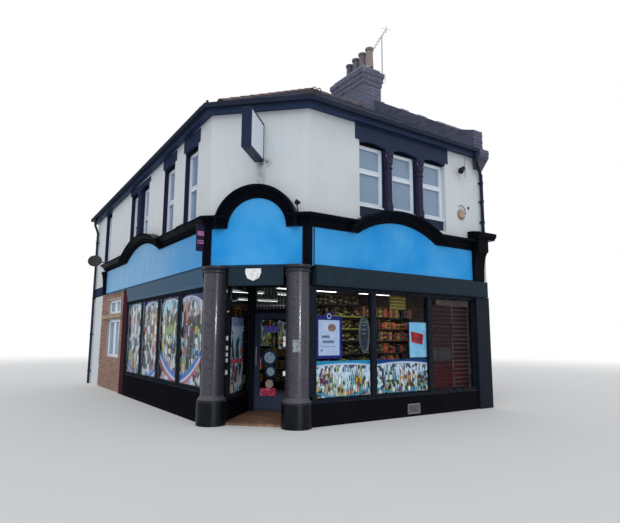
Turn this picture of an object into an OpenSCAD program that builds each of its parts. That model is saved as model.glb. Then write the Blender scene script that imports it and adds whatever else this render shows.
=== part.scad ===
// Corner shop building: two storeys on a street corner, with a cut-off corner over a recessed
// entrance, round columns, arched sign boards and a hipped roof against a party wall.

/* [Plan] */
// Front, from the square corner to the outer face of the party wall
front_w = 6400; // [6300:10:7000]
// Side street wall, from the square corner to the outer face of the rear wall
flank_l = 11260; // [11100:10:12500]
// Length that the cut-off corner takes from each street side
corner_cut = 1350; // [1320:5:1380]
// Thickness of the outer walls
wall_t = 280; // [240:5:320]
// Thickness of the party wall
party_t = 330; // [220:10:340]

/* [Heights] */
// Underside of the beam over the shopfront
beam_z = 2820; // [2780:10:2900]
// Height of the beam over the shopfront
beam_h = 300; // [250:10:340]
// Thickness of the upper floor
floor_t = 250; // [150:10:250]
// Thickness of the shop floor
ground_t = 50; // [40:5:80]
// Underside of the eaves
soffit_z = 5800; // [5760:10:5900]

/* [Roof] */
// Pitch of the front and back slopes in degrees
roof_pitch = 33; // [30:0.5:34]
// Distance from the front wall to the main ridge
ridge_y = 3640; // [3600:10:3700]
// Distance from the side street wall to the end of the main ridge
ridge_x = 3900; // [3800:10:4000]
// Vertical thickness of the roof
roof_t = 100; // [80:5:140]
// Distance from the front wall at which the side street eaves start to fall
fall_start = 1500; // [1450:10:1600]
// Fall of the side street eaves over its whole length behind that point
eaves_fall = 350; // [300:10:360]
// Height of the party parapet over the roof
parapet_h = 360; // [300:10:420]
// Thickness of the soffit and fascia boards
eaves_board_t = 20; // [15:1:30]
// Outer face of the fascia board, past the walls
fascia_reach = 120; // [110:5:130]
// Outer width of the gutters
gutter_w = 90; // [86:1:100]
// Outer diameter of the downpipes
downpipe_d = 76; // [70:2:80]

/* [Chimney] */
// Width of the chimney shaft along the front
stack_w = 700; // [600:10:800]
// Length of the chimney shaft
stack_l = 1450; // [1300:10:1600]
// Front face of the chimney shaft, from the front wall
stack_y = 3450; // [3350:10:3550]
// Top of the plain chimney shaft
stack_shaft_z = 9100; // [9000:10:9200]
// Step of each corbelled course
corbel_step = 30; // [20:1:30]
// Height of each corbelled course
corbel_h = 75; // [70:1:80]
// Diameter of the chimney pots
pot_d = 240; // [200:5:260]
// Height of the clay chimney pots
pot_h = 630; // [600:10:650]
// Height of the buff chimney pot
buff_pot_h = 650; // [600:10:700]

/* [Upper windows] */
// Head of the upper window frames
window_head_z = 5470; // [5450:5:5500]
// Foot of the upper window frames
window_foot_z = 4150; // [4100:10:4250]
// Foot of the side street window frames
flank_foot_z = 3890; // [3850:10:3950]
// Depth from the wall's face to the window frames
window_set = 110; // [90:5:130]
// Width of the white frame sections
frame_w = 55; // [45:1:65]
// Depth of the white frame sections
frame_d = 70; // [60:1:80]
// Width of a single upper window
single_w = 700; // [650:10:750]
// Width of the three-light front window
triple_w = 2500; // [2400:10:2600]
// Centre of the three-light window, from the square corner
triple_x = 3820; // [3780:10:3860]
// Height of the dark lintels over the upper windows
lintel_h = 330; // [300:5:340]
// Reach of the lintels past the window openings
lintel_lap = 105; // [80:5:120]
// Diameter of the small columns between window lights
window_column_d = 170; // [150:5:180]
// Thickness of all window glass
glass_t = 8; // [6:1:12]

/* [Shopfront] */
// Underside of the shutter boxes
box_z = 2470; // [2440:5:2500]
// Top of the front stall riser
front_sill_z = 400; // [360:5:440]
// Top of the side street stall riser
flank_sill_z = 540; // [450:10:600]
// Depth of the stall risers
riser_d = 200; // [180:5:220]
// Depth from the wall's face to the shop frames
shop_set = 20; // [10:5:40]
// Depth of the shop frames
shop_frame_d = 110; // [90:5:130]
// Width of the shop mullions
mullion_w = 110; // [90:5:130]
// Width of the shop frame at head, sill and ends
shop_frame_w = 60; // [50:5:70]
// Centre of the first front mullion, from the square corner
front_mullion_1 = 2930; // [2850:10:3000]
// Centre of the second front mullion, from the square corner
front_mullion_2 = 4490; // [4400:10:4550]
// Number of panes on the side street
flank_panes = 4; // [3:1:5]
// End of the side street glazing, from the square corner
flank_glass_end = 6800; // [6600:10:6900]
// Width of the post at the end of the side street glazing
flank_post_w = 400; // [300:10:450]
// Width of the brick panel behind that post
brick_panel_w = 2600; // [2400:10:2700]
// Thickness of the brick panel
brick_panel_t = 215; // [200:5:250]
// Width of the pilaster at the party wall
pilaster_w = 450; // [430:10:480]

/* [Columns] */
// Distance of each column from the middle of the corner
column_s = 780; // [770:5:790]
// Diameter of the granite shafts
shaft_d = 420; // [400:5:425]
// Diameter of the round plinths
plinth_d = 540; // [500:5:545]
// Top of the plinths
plinth_z = 420; // [400:5:450]
// Top of the base rings
base_ring_z = 510; // [490:5:530]
// Top of the granite shafts
shaft_z = 2690; // [2650:5:2720]

/* [Entrance] */
// Depth of the entrance lobby behind the corner
lobby_d = 1600; // [1550:10:1700]
// Width of the entrance lobby
lobby_w = 1120; // [1080:10:1120]
// Clear width of the doorway
doorway_w = 960; // [900:10:960]
// Head of the door
door_head_z = 2040; // [1980:10:2080]
// Thickness of the door leaf
door_t = 44; // [40:1:50]
// Running gap round the door leaf
door_gap = 5; // [5:0.5:8]
// Width of the door stiles
stile_w = 105; // [90:5:120]
// Top of the kick panel
kick_z = 380; // [300:10:450]
// Depth of the entrance frame
entrance_frame_d = 100; // [90:5:120]

/* [Signs] */
// Flat top of the sign boards
sign_z = 3530; // [3480:10:3550]
// Thickness of the sign boards
sign_t = 50; // [40:5:60]
// Rise of the arches over the street signs
street_arch_rise = 320; // [280:10:340]
// Half width of the front sign's arch
front_arch_half = 1080; // [1000:10:1100]
// Half width of the side street sign's arch
flank_arch_half = 1390; // [1300:10:1450]
// Centre of the front sign's arch, from the square corner
front_arch_x = 3560; // [3500:10:3600]
// Centre of the side street sign's arch, from the square corner
flank_arch_y = 5480; // [5400:10:5600]
// Radius of the arch over the corner sign
corner_arch_r = 560; // [520:10:580]
// Half width of the corner sign
corner_sign_half = 880; // [860:5:890]
// Height of the cornice
cornice_h = 250; // [230:5:260]
// Projection of the cornice
cornice_reach = 220; // [180:5:240]
// End of the side street sign, from the square corner
flank_sign_end = 9180; // [9000:10:9300]
// Length of the projecting sign box
box_sign_l = 800; // [700:10:850]
// Height of the projecting sign box
box_sign_h = 720; // [650:10:750]
// Thickness of the projecting sign box
box_sign_t = 170; // [140:5:180]
// Underside of the projecting sign box
box_sign_z = 4800; // [4750:10:4850]

/* [Hidden] */
$fn = 48;
eps = 1;
slope = tan(roof_pitch);
mitre = tan(22.5);
origin_x = front_w / 2;
origin_y = flank_l / 2;
party_x = front_w - party_t;
wall_foot_z = beam_z + beam_h;
joint_gap = 0.3;
eaves_z = soffit_z + 185;
roof_edge = fascia_reach;
rail_up = 720;
flank_rail_up = 730;
rail_h = 60;
lintel_drop = 70;
post_w = 215;
valley_z = eaves_z + roof_edge * slope;
ridge_rise = (ridge_y + roof_edge) * slope;
flank_slope = ridge_rise / (ridge_x + roof_edge);
corner_slope = ridge_rise / ((ridge_x + ridge_y - corner_cut) / sqrt(2) + roof_edge);
fall_angle = atan2(eaves_fall, flank_l - fall_start);
rear_drop = fall(flank_l);
rear_eaves_z = eaves_z - rear_drop;
gutter_up = 90;
gutter_z = soffit_z + gutter_up;
gutter_h = 95;
gutter_t = 6;
spigot_z = gutter_z + 5 * gutter_t;
downpipe_x = front_w - 120;
downpipe_y = flank_l - 360;
outlet_x = party_x - 70;
pipe_out = downpipe_d / 2 + 25;
bend_d = 1.13 * downpipe_d;
gutter_out = fascia_reach + gutter_w / 2;
outlet_drop = 150;
neck_drop = 420;
corbel_reach = 220;
corbel_z = soffit_z - 270;
kneeler_z = soffit_z + 700;
kneeler_end = 350;
kneeler_y = 60;
stack_foot_z = 7300;
corbel_steps = [1, 1, 2, 2, 3, 3];
corbel_top_z = stack_shaft_z + len(corbel_steps) * corbel_h;
flaunch_z = corbel_top_z + 90;
flaunch_in = 90;
stack_top_z = flaunch_z + 90;
pots = [[150, buff_pot_h], [480, pot_h], [800, pot_h - 40], [1110, pot_h - 100]];
pot_shift = 50;
pot_wall = 25;
mast_d = 36;
mast_set = 1.5 * corbel_step;
mast_h = 1270;
mast_top_z = corbel_top_z + mast_h;
boom_d = 22;
boom_z = mast_top_z + boom_d / 2 + joint_gap;
boom_turn = 21;
boom_far = 850;
boom_near = 400;
boom_rods = 7;
rod_d = 10;
rod_half = 75;
reflector_half = 150;
wall_top_z = eaves_z - roof_t + roof_edge * corner_slope - joint_gap;
range_end = 2 * ridge_y;
rear_ridge_y = (flank_l + roof_edge + range_end) / 2 + (rear_eaves_z - valley_z) / slope / 2;
fascia_top_z = eaves_z - roof_t - joint_gap;
roof_floor_z = soffit_z - 600;
stack_x = front_w - stack_w - 3 * corbel_step;
column_x = corner_cut / 2 + column_s / sqrt(2);
column_y = corner_cut / 2 - column_s / sqrt(2);
column_gap = 0.5;
lobby_side_t = 100;
lobby_start = 200;
lobby_side_end = lobby_d - entrance_frame_d;
glazing_start = 1500;
pilaster_x = front_w - pilaster_w;
flank_post_end = flank_glass_end + flank_post_w;
brick_end = flank_post_end + brick_panel_w;
door_w = doorway_w - 2 * door_gap;
door_foot_z = ground_t + 8;
door_face = lobby_d - door_t;
hinge_r = 7.7;
hinge_out = 8;
hinge_s = doorway_w / 2 + door_gap / 2;

transom_z = door_head_z + door_gap;
top_light_z = 2590;
lobby_frame_t = 60;
lobby_pane_start = 330;
lobby_pane_end = lobby_side_end - shop_frame_w;
front_edges = [glazing_start, front_mullion_1, front_mullion_2, pilaster_x];
flank_edges = [for (i = [0 : flank_panes])
    flank_x(flank_glass_end) + i * (flank_glass_end - glazing_start) / flank_panes];
hinge_heights = [300, 1100, 1800];
hinge_h = 60;
hinge_leaf = 45;
hinge_gap = door_gap + door_gap / 2;
sign_start = corner_cut + 40;
front_sign_end = front_w - 560;
corner_half = corner_cut / sqrt(2);
box_start = glazing_start - 20;
box_reach = 100;
console_cap_z = sign_z + cornice_h;
console_body = 250;
flank_console_body = 180;
flank_console_w = 240;
console_reach = 330;
cap_flat = 190;
block_reach = 90;
arch_top_z = sign_z + street_arch_rise + cornice_h + 10;
lobby_top_z = ground_t - 10;
dish_y = flank_l - 1560;
dish_z = 3890;
dish_reach = 330;
dish_r = 500;
dish_t = 10;
dish_rim_r = 210;
light_l = 1500;
light_w_gap = 500;
light_pitch = 2600;
light_right = 400;
light_back = 430;
light_x_places = [for (side = [-1, 1])
    front_w / 2 + light_right + side * (light_l + light_w_gap) / 2 - light_l / 2];
light_y_places = [for (i = [-1 : 1]) flank_l / 2 - light_back + i * light_pitch];

// Frames of the faces: x to the right seen from outside, y inwards, z up
module building() translate([-origin_x, -origin_y, 0]) children();
module corner_face() translate([corner_cut / 2, corner_cut / 2, 0]) rotate([0, 0, -45]) children();
module flank_face() translate([0, flank_l, 0]) rotate([0, 0, -90]) children();
module rear_face() translate([front_w, flank_l, 0]) rotate([0, 0, 180]) children();
function flank_x(y) = flank_l - y;
// How far the side street eaves have fallen at a distance from the front wall
function fall(y) = y < fall_start ? 0 : (y - fall_start) * eaves_fall / (flank_l - fall_start);

// Windows of the side street: distance from the square corner and number of lights
flank_windows = [[2375, 1], [3750, 1], [6120, 2], [9560, 1]];
double_w = 2 * single_w + post_w;
function window_width(lights) = lights == 1 ? single_w : double_w;
// Windows of the rear wall: distance from its party end, foot, head
rear_windows = [[1500, 3850, 5170], [4500, 3850, 5170], [1500, 1050, 2250], [4500, 1050, 2250]];
window_h = window_head_z - window_foot_z;
flank_window_h = window_head_z - flank_foot_z;
apron_z = 3890;
// Openings in the brick panel, foot and head
panel_lights = [[950, 2020], [2200, 2600]];
panel_window_w = 1500;
panel_window_y = 8200;

// A bar with a plan outline between two heights
module slab(points, z0, z1) translate([0, 0, z0]) linear_extrude(z1 - z0) polygon(points);

// Plan of a bar that follows both streets, between offsets a and b outside the walls
function bent(a, b, x_end, y_end) = [
    [x_end, -a], [corner_cut - a * mitre, -a], [-a, corner_cut - a * mitre], [-a, y_end],
    [-b, y_end], [-b, corner_cut - b * mitre], [corner_cut - b * mitre, -b], [x_end, -b]
];

module shop_floor() color("dimgray") difference() {
    slab([[wall_t, flank_l - wall_t], [wall_t, corner_cut + wall_t * mitre + 200],
          [corner_cut + wall_t * mitre + 200, wall_t], [party_x, wall_t],
          [party_x, flank_l - wall_t]], 0, ground_t);
    corner_face() {
        translate([-lobby_w / 2, -wall_t, -eps])
            cube([lobby_w, lobby_d + wall_t, ground_t + 2 * eps]);
        translate([-lobby_w / 2 - lobby_side_t - joint_gap, -wall_t, -eps])
            cube([lobby_w + 2 * lobby_side_t + 2 * joint_gap, lobby_side_end + wall_t + joint_gap,
                  ground_t + 2 * eps]);
    }
}

module lobby_floor() color("saddlebrown") difference() {
    corner_face() translate([-lobby_w / 2, 0, 0]) cube([lobby_w, lobby_d, lobby_top_z]);
    column_clearance();
}

module upper_floor() color("white") slab([
    [wall_t, flank_l - wall_t], [wall_t, corner_cut + wall_t * mitre],
    [corner_cut + wall_t * mitre, wall_t], [party_x, wall_t], [party_x, flank_l - wall_t]],
    beam_z, beam_z + floor_t);

module front_wall() color("ivory") difference() {
    slab([[corner_cut, 0], [party_x, 0], [party_x, wall_t], [corner_cut + wall_t * mitre, wall_t]],
         wall_foot_z, wall_top_z);
    translate([triple_x - triple_w / 2, -eps, apron_z])
        cube([triple_w, wall_t + 2 * eps, window_head_z - apron_z]);
}

module corner_wall() color("ivory")
    slab([[corner_cut, 0], [corner_cut + wall_t * mitre, wall_t], [wall_t, corner_cut + wall_t * mitre],
          [0, corner_cut]], wall_foot_z, wall_top_z);

module flank_wall() color("ivory") difference() {
    intersection() {
        slab([[0, corner_cut], [wall_t, corner_cut + wall_t * mitre], [wall_t, flank_l], [0, flank_l]],
             wall_foot_z, wall_top_z);
        flank_band(-wall_t - eps, eps, 0, flank_l + wall_t, wall_foot_z - wall_top_z - eaves_fall,
                   0, wall_top_z);
    }
    for (w = flank_windows) flank_face()
        translate([flank_x(w[0]) - window_width(w[1]) / 2, -eps, flank_foot_z])
            cube([window_width(w[1]), wall_t + 2 * eps, flank_window_h]);
}

module rear_wall() color("ivory") difference() {
    translate([wall_t, flank_l - wall_t, 0])
        cube([party_x - wall_t, wall_t, wall_top_z - rear_drop]);
    for (w = rear_windows) rear_face()
        translate([w[0] - single_w / 2, -eps, w[1]]) cube([single_w, wall_t + 2 * eps, w[2] - w[1]]);
}

// A band along the side street between offsets a and b outside the wall, from y0 to y1, whose lower
// and upper edges lie low and high over height z and fall with the eaves
module flank_band(a, b, y0, y1, low, high, z) translate([-b, 0, z]) rotate([90, 0, 90])
    linear_extrude(b - a) polygon(concat(
        [for (y = [y0, max(y0, fall_start), y1]) [y, low - fall(y)]],
        [for (y = [y1, max(y0, fall_start), y0]) [y, high - fall(y)]]));

// Height of the roof's top over a point of the party wall
function main_roof_at(y) = eaves_z + slope * (roof_edge + min(y, range_end - y));
function rear_roof_at(y) = min(valley_z + slope * (y - range_end),
                               rear_eaves_z + slope * (flank_l + roof_edge - y));

module party_wall() color("firebrick") translate([front_w, 0, 0]) rotate([0, -90, 0])
    linear_extrude(party_t) polygon([
        [0, 0], [corbel_z, 0], [soffit_z, -corbel_reach], [gutter_z + gutter_h, -corbel_reach],
        [gutter_z + gutter_h, -kneeler_y], [kneeler_z, -kneeler_y],
        [main_roof_at(kneeler_end) + parapet_h, kneeler_end],
        [main_roof_at(ridge_y) + parapet_h, ridge_y],
        [main_roof_at(range_end) + parapet_h, range_end],
        [rear_roof_at(rear_ridge_y) + parapet_h, rear_ridge_y],
        [rear_roof_at(flank_l) + parapet_h, flank_l], [0, flank_l]
    ]);

module flank_pier() color("ivory")
    translate([0, brick_end, 0]) cube([wall_t, flank_l - brick_end, beam_z]);

module brick_panel() color("sienna") difference() {
    translate([0, flank_post_end, 0]) cube([brick_panel_t, brick_panel_w, beam_z]);
    for (light = panel_lights)
        translate([-eps, panel_window_y - panel_window_w / 2, light[0]])
            cube([brick_panel_t + 2 * eps, panel_window_w, light[1] - light[0]]);
}

module shopfront_beam() color("darkslategray")
    slab(bent(0, -wall_t, party_x, flank_l), beam_z, wall_foot_z);

// What the columns leave of the pieces beside them
module column_clearance() for (side = [-1, 1]) corner_face() translate([side * column_s, 0, -eps]) {
    cylinder(d = plinth_d + 2 * column_gap, h = base_ring_z + 2 * eps);
    cylinder(d = shaft_d + 2 * column_gap, h = beam_z);
}

module stall_risers() color([0.09, 0.09, 0.1]) difference() {
    union() {
        translate([column_x, 0, 0]) cube([pilaster_x - column_x, riser_d, front_sill_z]);
        translate([0, column_x, 0]) cube([riser_d, flank_glass_end - column_x, flank_sill_z]);
        lobby_sides(lobby_side_t, lobby_start, lobby_side_end, 0, front_sill_z, 0);
    }
    column_clearance();
}

// The two sides of the lobby, each lobby_side_t thick
module lobby_sides(depth, start, end, foot, top, set) corner_face() for (side = [-1, 1])
    translate([side > 0 ? lobby_w / 2 + set : -lobby_w / 2 - set - depth, start, foot])
        cube([depth, end - start, top - foot]);

// A granite column on a round plinth, with a ring at its foot and a capital
module column() {
    color([0.1, 0.1, 0.12]) cylinder(d = plinth_d, h = plinth_z);
    color("slategray") rotate_extrude() polygon(concat(
        [[0, plinth_z], [plinth_d / 2 - 15, plinth_z]],
        [for (a = [0 : 15 : 180])
            [plinth_d / 2 - 40 + 25 * cos(a - 90), plinth_z + 25 + 25 * sin(a - 90)]],
        [[shaft_d / 2 + 15, base_ring_z - 20], [shaft_d / 2, base_ring_z], [shaft_d / 2, shaft_z],
         [shaft_d / 2 + 25, shaft_z + 15], [shaft_d / 2 + 25, shaft_z + 45],
         [shaft_d / 2 + 5, shaft_z + 60], [shaft_d / 2 + 40, beam_z - 35],
         [shaft_d / 2 + 40, beam_z - joint_gap], [0, beam_z - joint_gap]]));
}

module left_column() corner_face() translate([-column_s, 0, 0]) column();
module right_column() corner_face() translate([column_s, 0, 0]) column();

module shopfront_piers() color([0.2, 0.22, 0.25]) {
    difference() {
        union() {
            translate([column_x, shop_set, front_sill_z])
                cube([glazing_start - column_x, riser_d - shop_set, box_z - front_sill_z]);
            translate([shop_set, column_x, flank_sill_z])
                cube([riser_d - shop_set, glazing_start - column_x, box_z - flank_sill_z]);
        }
        column_clearance();
    }
    translate([pilaster_x, -40, 0]) cube([pilaster_w, 40, box_z]);
    translate([pilaster_x, -eps, 0]) cube([pilaster_w - party_t, riser_d + eps, box_z]);
    translate([0, flank_glass_end, 0]) cube([riser_d, flank_post_w, beam_z]);
}

// A frame in a face with bays between mullions; edges lists the bay edges from left to right
module bay_frame(edges, foot, top) difference() {
    translate([edges[0], shop_set, foot])
        cube([edges[len(edges) - 1] - edges[0], shop_frame_d, top - foot]);
    for (i = [0 : len(edges) - 2])
        translate([pane_left(edges, i), shop_set - eps, foot + shop_frame_w])
            cube([pane_right(edges, i) - pane_left(edges, i), shop_frame_d + 2 * eps,
                  top - foot - 2 * shop_frame_w]);
}
function pane_left(edges, i) = edges[i] + (i == 0 ? shop_frame_w : mullion_w / 2);
function pane_right(edges, i) = edges[i + 1] - (i == len(edges) - 2 ? shop_frame_w : mullion_w / 2);

module bay_glass(edges, foot, top) for (i = [0 : len(edges) - 2])
    translate([pane_left(edges, i), shop_set + (shop_frame_d - glass_t) / 2, foot + shop_frame_w])
        cube([pane_right(edges, i) - pane_left(edges, i), glass_t, top - foot - 2 * shop_frame_w]);

module front_shop_frame() color([0.2, 0.22, 0.25]) bay_frame(front_edges, front_sill_z, box_z);
module flank_shop_frame() color([0.2, 0.22, 0.25]) flank_face()
    bay_frame(flank_edges, flank_sill_z, box_z);

module lobby_side_frames() color([0.2, 0.22, 0.25]) difference() {
    lobby_sides(lobby_frame_t, lobby_start, lobby_side_end, front_sill_z, beam_z - joint_gap, 0);
    lobby_sides(lobby_frame_t + 2 * eps, lobby_pane_start, lobby_pane_end, front_sill_z + shop_frame_w,
                box_z, -eps);
    column_clearance();
}

module door_posts() color([0.15, 0.17, 0.2]) corner_face() for (side = [-1, 1])
    translate([side > 0 ? doorway_w / 2 : -lobby_w / 2, lobby_side_end, lobby_top_z])
        cube([(lobby_w - doorway_w) / 2, entrance_frame_d, beam_z - joint_gap - lobby_top_z]);

module entrance_transom() color([0.15, 0.17, 0.2]) corner_face() difference() {
    translate([-doorway_w / 2, lobby_side_end, transom_z])
        cube([doorway_w, entrance_frame_d, beam_z - joint_gap - transom_z]);
    translate([-doorway_w / 2 + 30, lobby_side_end - eps, transom_z + 75])
        cube([doorway_w - 60, entrance_frame_d + 2 * eps, top_light_z - transom_z - 75]);
}

module shop_glass() color("lightcyan", 0.4) {
    bay_glass(front_edges, front_sill_z, box_z);
    flank_face() bay_glass(flank_edges, flank_sill_z, box_z);
    lobby_panes();
    corner_face() translate([-doorway_w / 2 + 30, lobby_side_end + (entrance_frame_d - glass_t) / 2,
                             transom_z + 75])
        cube([doorway_w - 60, glass_t, top_light_z - transom_z - 75]);
}

module lobby_panes() corner_face() for (side = [-1, 1])
    translate([side * (lobby_w + lobby_frame_t) / 2 - glass_t / 2, lobby_pane_start,
               front_sill_z + shop_frame_w])
        cube([glass_t, lobby_pane_end - lobby_pane_start, box_z - front_sill_z - shop_frame_w]);

// The leaf from its outer face inwards, hung on the right
module entrance_door() color([0.15, 0.17, 0.2]) corner_face() {
    difference() {
        translate([-door_w / 2, door_face, door_foot_z])
            cube([door_w, door_t, door_head_z - door_foot_z]);
        translate([-door_w / 2 + stile_w, door_face - eps, kick_z])
            cube([door_w - 2 * stile_w, door_t + 2 * eps, door_head_z - stile_w - kick_z]);
    }
    for (z = hinge_heights) translate([hinge_s, lobby_d + hinge_out, z]) {
        cylinder(r = hinge_r, h = hinge_h);
        translate([-hinge_leaf, -hinge_out - 2, 0]) cube([hinge_leaf - hinge_gap, 5, hinge_h]);
        translate([-hinge_gap - eps, -hinge_r, 0]) cube([hinge_gap, 3, hinge_h]);
    }
}

module door_glass() color("lightcyan", 0.4) corner_face()
    translate([-door_w / 2 + stile_w, door_face + (door_t - glass_t) / 2, kick_z])
        cube([door_w - 2 * stile_w, glass_t, door_head_z - stile_w - kick_z]);

// A bar on two stand-offs on the outer face
module door_handle() color("silver") corner_face() translate([-door_w / 2 + stile_w / 2, door_face, 0]) {
    translate([0, -50, 950]) cylinder(d = 25, h = 400);
    for (z = [990, 1310]) translate([0, 0, z]) rotate([90, 0, 0]) cylinder(d = 18, h = 50);
}

// A segment of an arch over a chord at height z: radius and centre
function arch_r(half, rise) = (half * half + rise * rise) / (2 * rise);

module sign_outline(x0, x1, foot, flat_top, arch_x, half, rise) union() {
    translate([x0, foot]) square([x1 - x0, flat_top - foot]);
    intersection() {
        translate([arch_x, flat_top + rise - arch_r(half, rise)]) circle(arch_r(half, rise), $fn = 96);
        translate([arch_x - half, flat_top - eps]) square([2 * half, rise + 2 * eps]);
    }
}
module board(t) rotate([90, 0, 0]) linear_extrude(t) children();

module front_sign() color([0.12, 0.57, 0.84]) board(sign_t)
    sign_outline(sign_start, front_sign_end, beam_z, sign_z, front_arch_x, front_arch_half,
                 street_arch_rise);
module corner_sign() color([0.12, 0.57, 0.84]) corner_face() board(sign_t)
    sign_outline(joint_gap - corner_sign_half, corner_sign_half - joint_gap, beam_z, sign_z, 0,
                 corner_arch_r, corner_arch_r);
module flank_sign() color([0.35, 0.7, 0.88]) flank_face() board(sign_t)
    sign_outline(flank_x(flank_sign_end), flank_x(sign_start), beam_z, sign_z, flank_x(flank_arch_y),
                 flank_arch_half, street_arch_rise);

// Outline of the cornice: outward and up
cornice_profile = [
    [0, 0], [65, 0], [75, 50], [110, 80], [110, 115], [cornice_reach - 30, 170],
    [cornice_reach, 185], [cornice_reach, cornice_h - 25], [cornice_reach - 20, cornice_h - 15],
    [0, cornice_h]
];
module cornice_run(x0, x1) translate([x0, 0, sign_z]) rotate([90, 0, 90]) linear_extrude(x1 - x0)
    polygon([for (p = cornice_profile) [-p[0], p[1]]]);
// The cornice carried over an arch, kept above the flat top of the sign
module cornice_arch(x, half, rise) intersection() {
    translate([x, 0, sign_z + rise - arch_r(half, rise)]) rotate([90, 0, 0])
        rotate_extrude($fn = 96)
            polygon([for (p = cornice_profile) [arch_r(half, rise) + p[1] + joint_gap, p[0]]]);
    translate([x - half - cornice_h, -cornice_reach - eps, sign_z])
        cube([2 * (half + cornice_h), cornice_reach + 2 * eps, rise + cornice_h + eps]);
}
// Plan of the space in front of a face up to its mitred ends
module mitred(x0, x1, grow0, grow1)
    slab([[x0 + wall_t * grow0, wall_t], [x0 - 500 * grow0, -500], [x1 + 500 * grow1, -500],
          [x1 - wall_t * grow1, wall_t]], 0, soffit_z);

module shopfront_cornice() color([0.08, 0.09, 0.12]) {
    intersection() {
        union() {
            cornice_run(0, front_arch_x - front_arch_half);
            cornice_run(front_arch_x + front_arch_half, front_sign_end);
        }
        mitred(corner_cut, front_w, mitre, 0);
    }
    cornice_arch(front_arch_x, front_arch_half, street_arch_rise);
    corner_face() {
        intersection() {
            union() {
                cornice_run(-corner_half - cornice_reach, -corner_arch_r);
                cornice_run(corner_arch_r, corner_half + cornice_reach);
            }
            mitred(-corner_half, corner_half, mitre, mitre);
        }
        cornice_arch(0, corner_arch_r, corner_arch_r);
    }
    flank_face() {
        intersection() {
            union() {
                cornice_run(flank_x(flank_sign_end) - flank_console_w,
                            flank_x(flank_arch_y + flank_arch_half));
                cornice_run(flank_x(flank_arch_y - flank_arch_half), flank_l);
            }
            mitred(0, flank_x(corner_cut), 0, mitre);
        }
        cornice_arch(flank_x(flank_arch_y), flank_arch_half, street_arch_rise);
    }
}

module shutter_boxes() color([0.22, 0.25, 0.27]) {
    translate([box_start, -box_reach, box_z])
        cube([party_x - box_start, riser_d + box_reach, beam_z - joint_gap - box_z]);
    translate([party_x - eps, -box_reach, box_z])
        cube([front_w - 100 - party_x + eps, box_reach, beam_z - joint_gap - box_z]);
    corner_face() translate([-lobby_w / 2 + 40, -40, box_z])
        cube([lobby_w - 80, 140, beam_z - joint_gap - box_z]);
    flank_face() translate([flank_x(flank_glass_end), 0, 0]) rotate([90, 0, 90])
        linear_extrude(flank_glass_end - box_start)
            polygon([[-sign_t, beam_z - joint_gap], [0, box_z + 60], [0, box_z], [riser_d, box_z],
                     [riser_d, beam_z - joint_gap]]);
}

// A scrolled bracket of width w that grows to a reach under its flat top
module console(w, reach, top) rotate([90, 0, 90]) linear_extrude(w) polygon(concat(
    [[0, beam_z], [-90, beam_z], [-110, beam_z + 60]],
    [for (a = [0 : 15 : 90]) [-110 - (reach - 110) * (1 - cos(a)), beam_z + 120 + 560 * sin(a)]],
    [[-reach, top], [0, top]]));
// A moulded cap with a flat top at the wall
module console_cap(w) rotate([90, 0, 90]) linear_extrude(w) polygon([
    [0, 0], [-270, 0], [-290, 40], [-console_reach, 80], [-console_reach, 150],
    [-2 * pipe_out, cap_flat], [0, cap_flat]]);

module corner_block() slab([
    [sign_start, 0], [sign_start, -block_reach], [corner_cut - block_reach * mitre, -block_reach],
    corner_point(corner_sign_half, block_reach), corner_point(corner_sign_half, 0), [corner_cut, 0]],
    beam_z, sign_z);
function corner_point(s, o) = [corner_cut / 2 + (s - o) / sqrt(2), corner_cut / 2 - (s + o) / sqrt(2)];

module end_consoles() color([0.08, 0.09, 0.12]) {
    translate([front_sign_end, 0, 0]) console(350, console_body, console_cap_z);
    translate([front_sign_end - 60, 0, console_cap_z]) console_cap(front_w - front_sign_end + 60);
    flank_face() translate([flank_x(flank_sign_end) - flank_console_w, 0, 0])
        console(flank_console_w, flank_console_body, sign_z);
    corner_block();
    mirror([1, -1, 0]) corner_block();
}

// A dark lintel board over an opening, with a shallow arch over each light
module lintel(x, w, lights, lintel_top) difference() {
    union() {
        translate([x - w / 2 - lintel_lap, -15, window_head_z])
            cube([w + 2 * lintel_lap, 15, lintel_top - window_head_z]);
        translate([x - w / 2, -15, window_head_z - lintel_drop])
            cube([w, window_set + 15, lintel_drop]);
    }
    for (i = [0 : lights - 1])
        translate([x + light_x(i, w, lights), window_set + eps, window_head_z - arch_r(single_w / 2, 55) - 8])
            rotate([90, 0, 0]) cylinder(r = arch_r(single_w / 2, 55), h = window_set + 20, $fn = 96);
}
function light_w(w, lights) = (w - (lights - 1) * post_w) / lights;
function light_x(i, w, lights) = -w / 2 + light_w(w, lights) / 2 + i * (light_w(w, lights) + post_w);

// A small column with base and capital in front of a post between two lights
module window_post(x, foot) translate([x, 0, foot]) {
    translate([-post_w / 2, window_set - 20, 0])
        cube([post_w, frame_d + 20, window_head_z - lintel_drop - foot]);
    translate([0, 40, arch_top_z - foot]) {
        cylinder(d = window_column_d, h = window_head_z - lintel_drop - arch_top_z);
        cylinder(d = window_column_d + 40, h = 60);
    }
    translate([0, 40, 0]) {
        translate([0, 0, window_head_z - lintel_drop - foot - 190])
            cylinder(d1 = window_column_d, d2 = post_w - 4, h = 130, $fn = 32);
        translate([-post_w / 2, -80, window_head_z - lintel_drop - foot - 60])
            cube([post_w, 150, 60]);
    }
}

module window_surrounds() color([0.15, 0.2, 0.27]) {
    front_surround();
    flank_face() for (w = flank_windows) flank_surround(w);
}
module front_surround() {
    lintel(triple_x, triple_w, 3, soffit_z);
    for (i = [0, 1])
        window_post(triple_x + light_x(i, triple_w, 3) + (light_w(triple_w, 3) + post_w) / 2, apron_z);
    translate([triple_x - triple_w / 2, window_set - 20, apron_z])
        cube([triple_w, frame_d + 20, window_foot_z - apron_z]);
}

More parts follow.
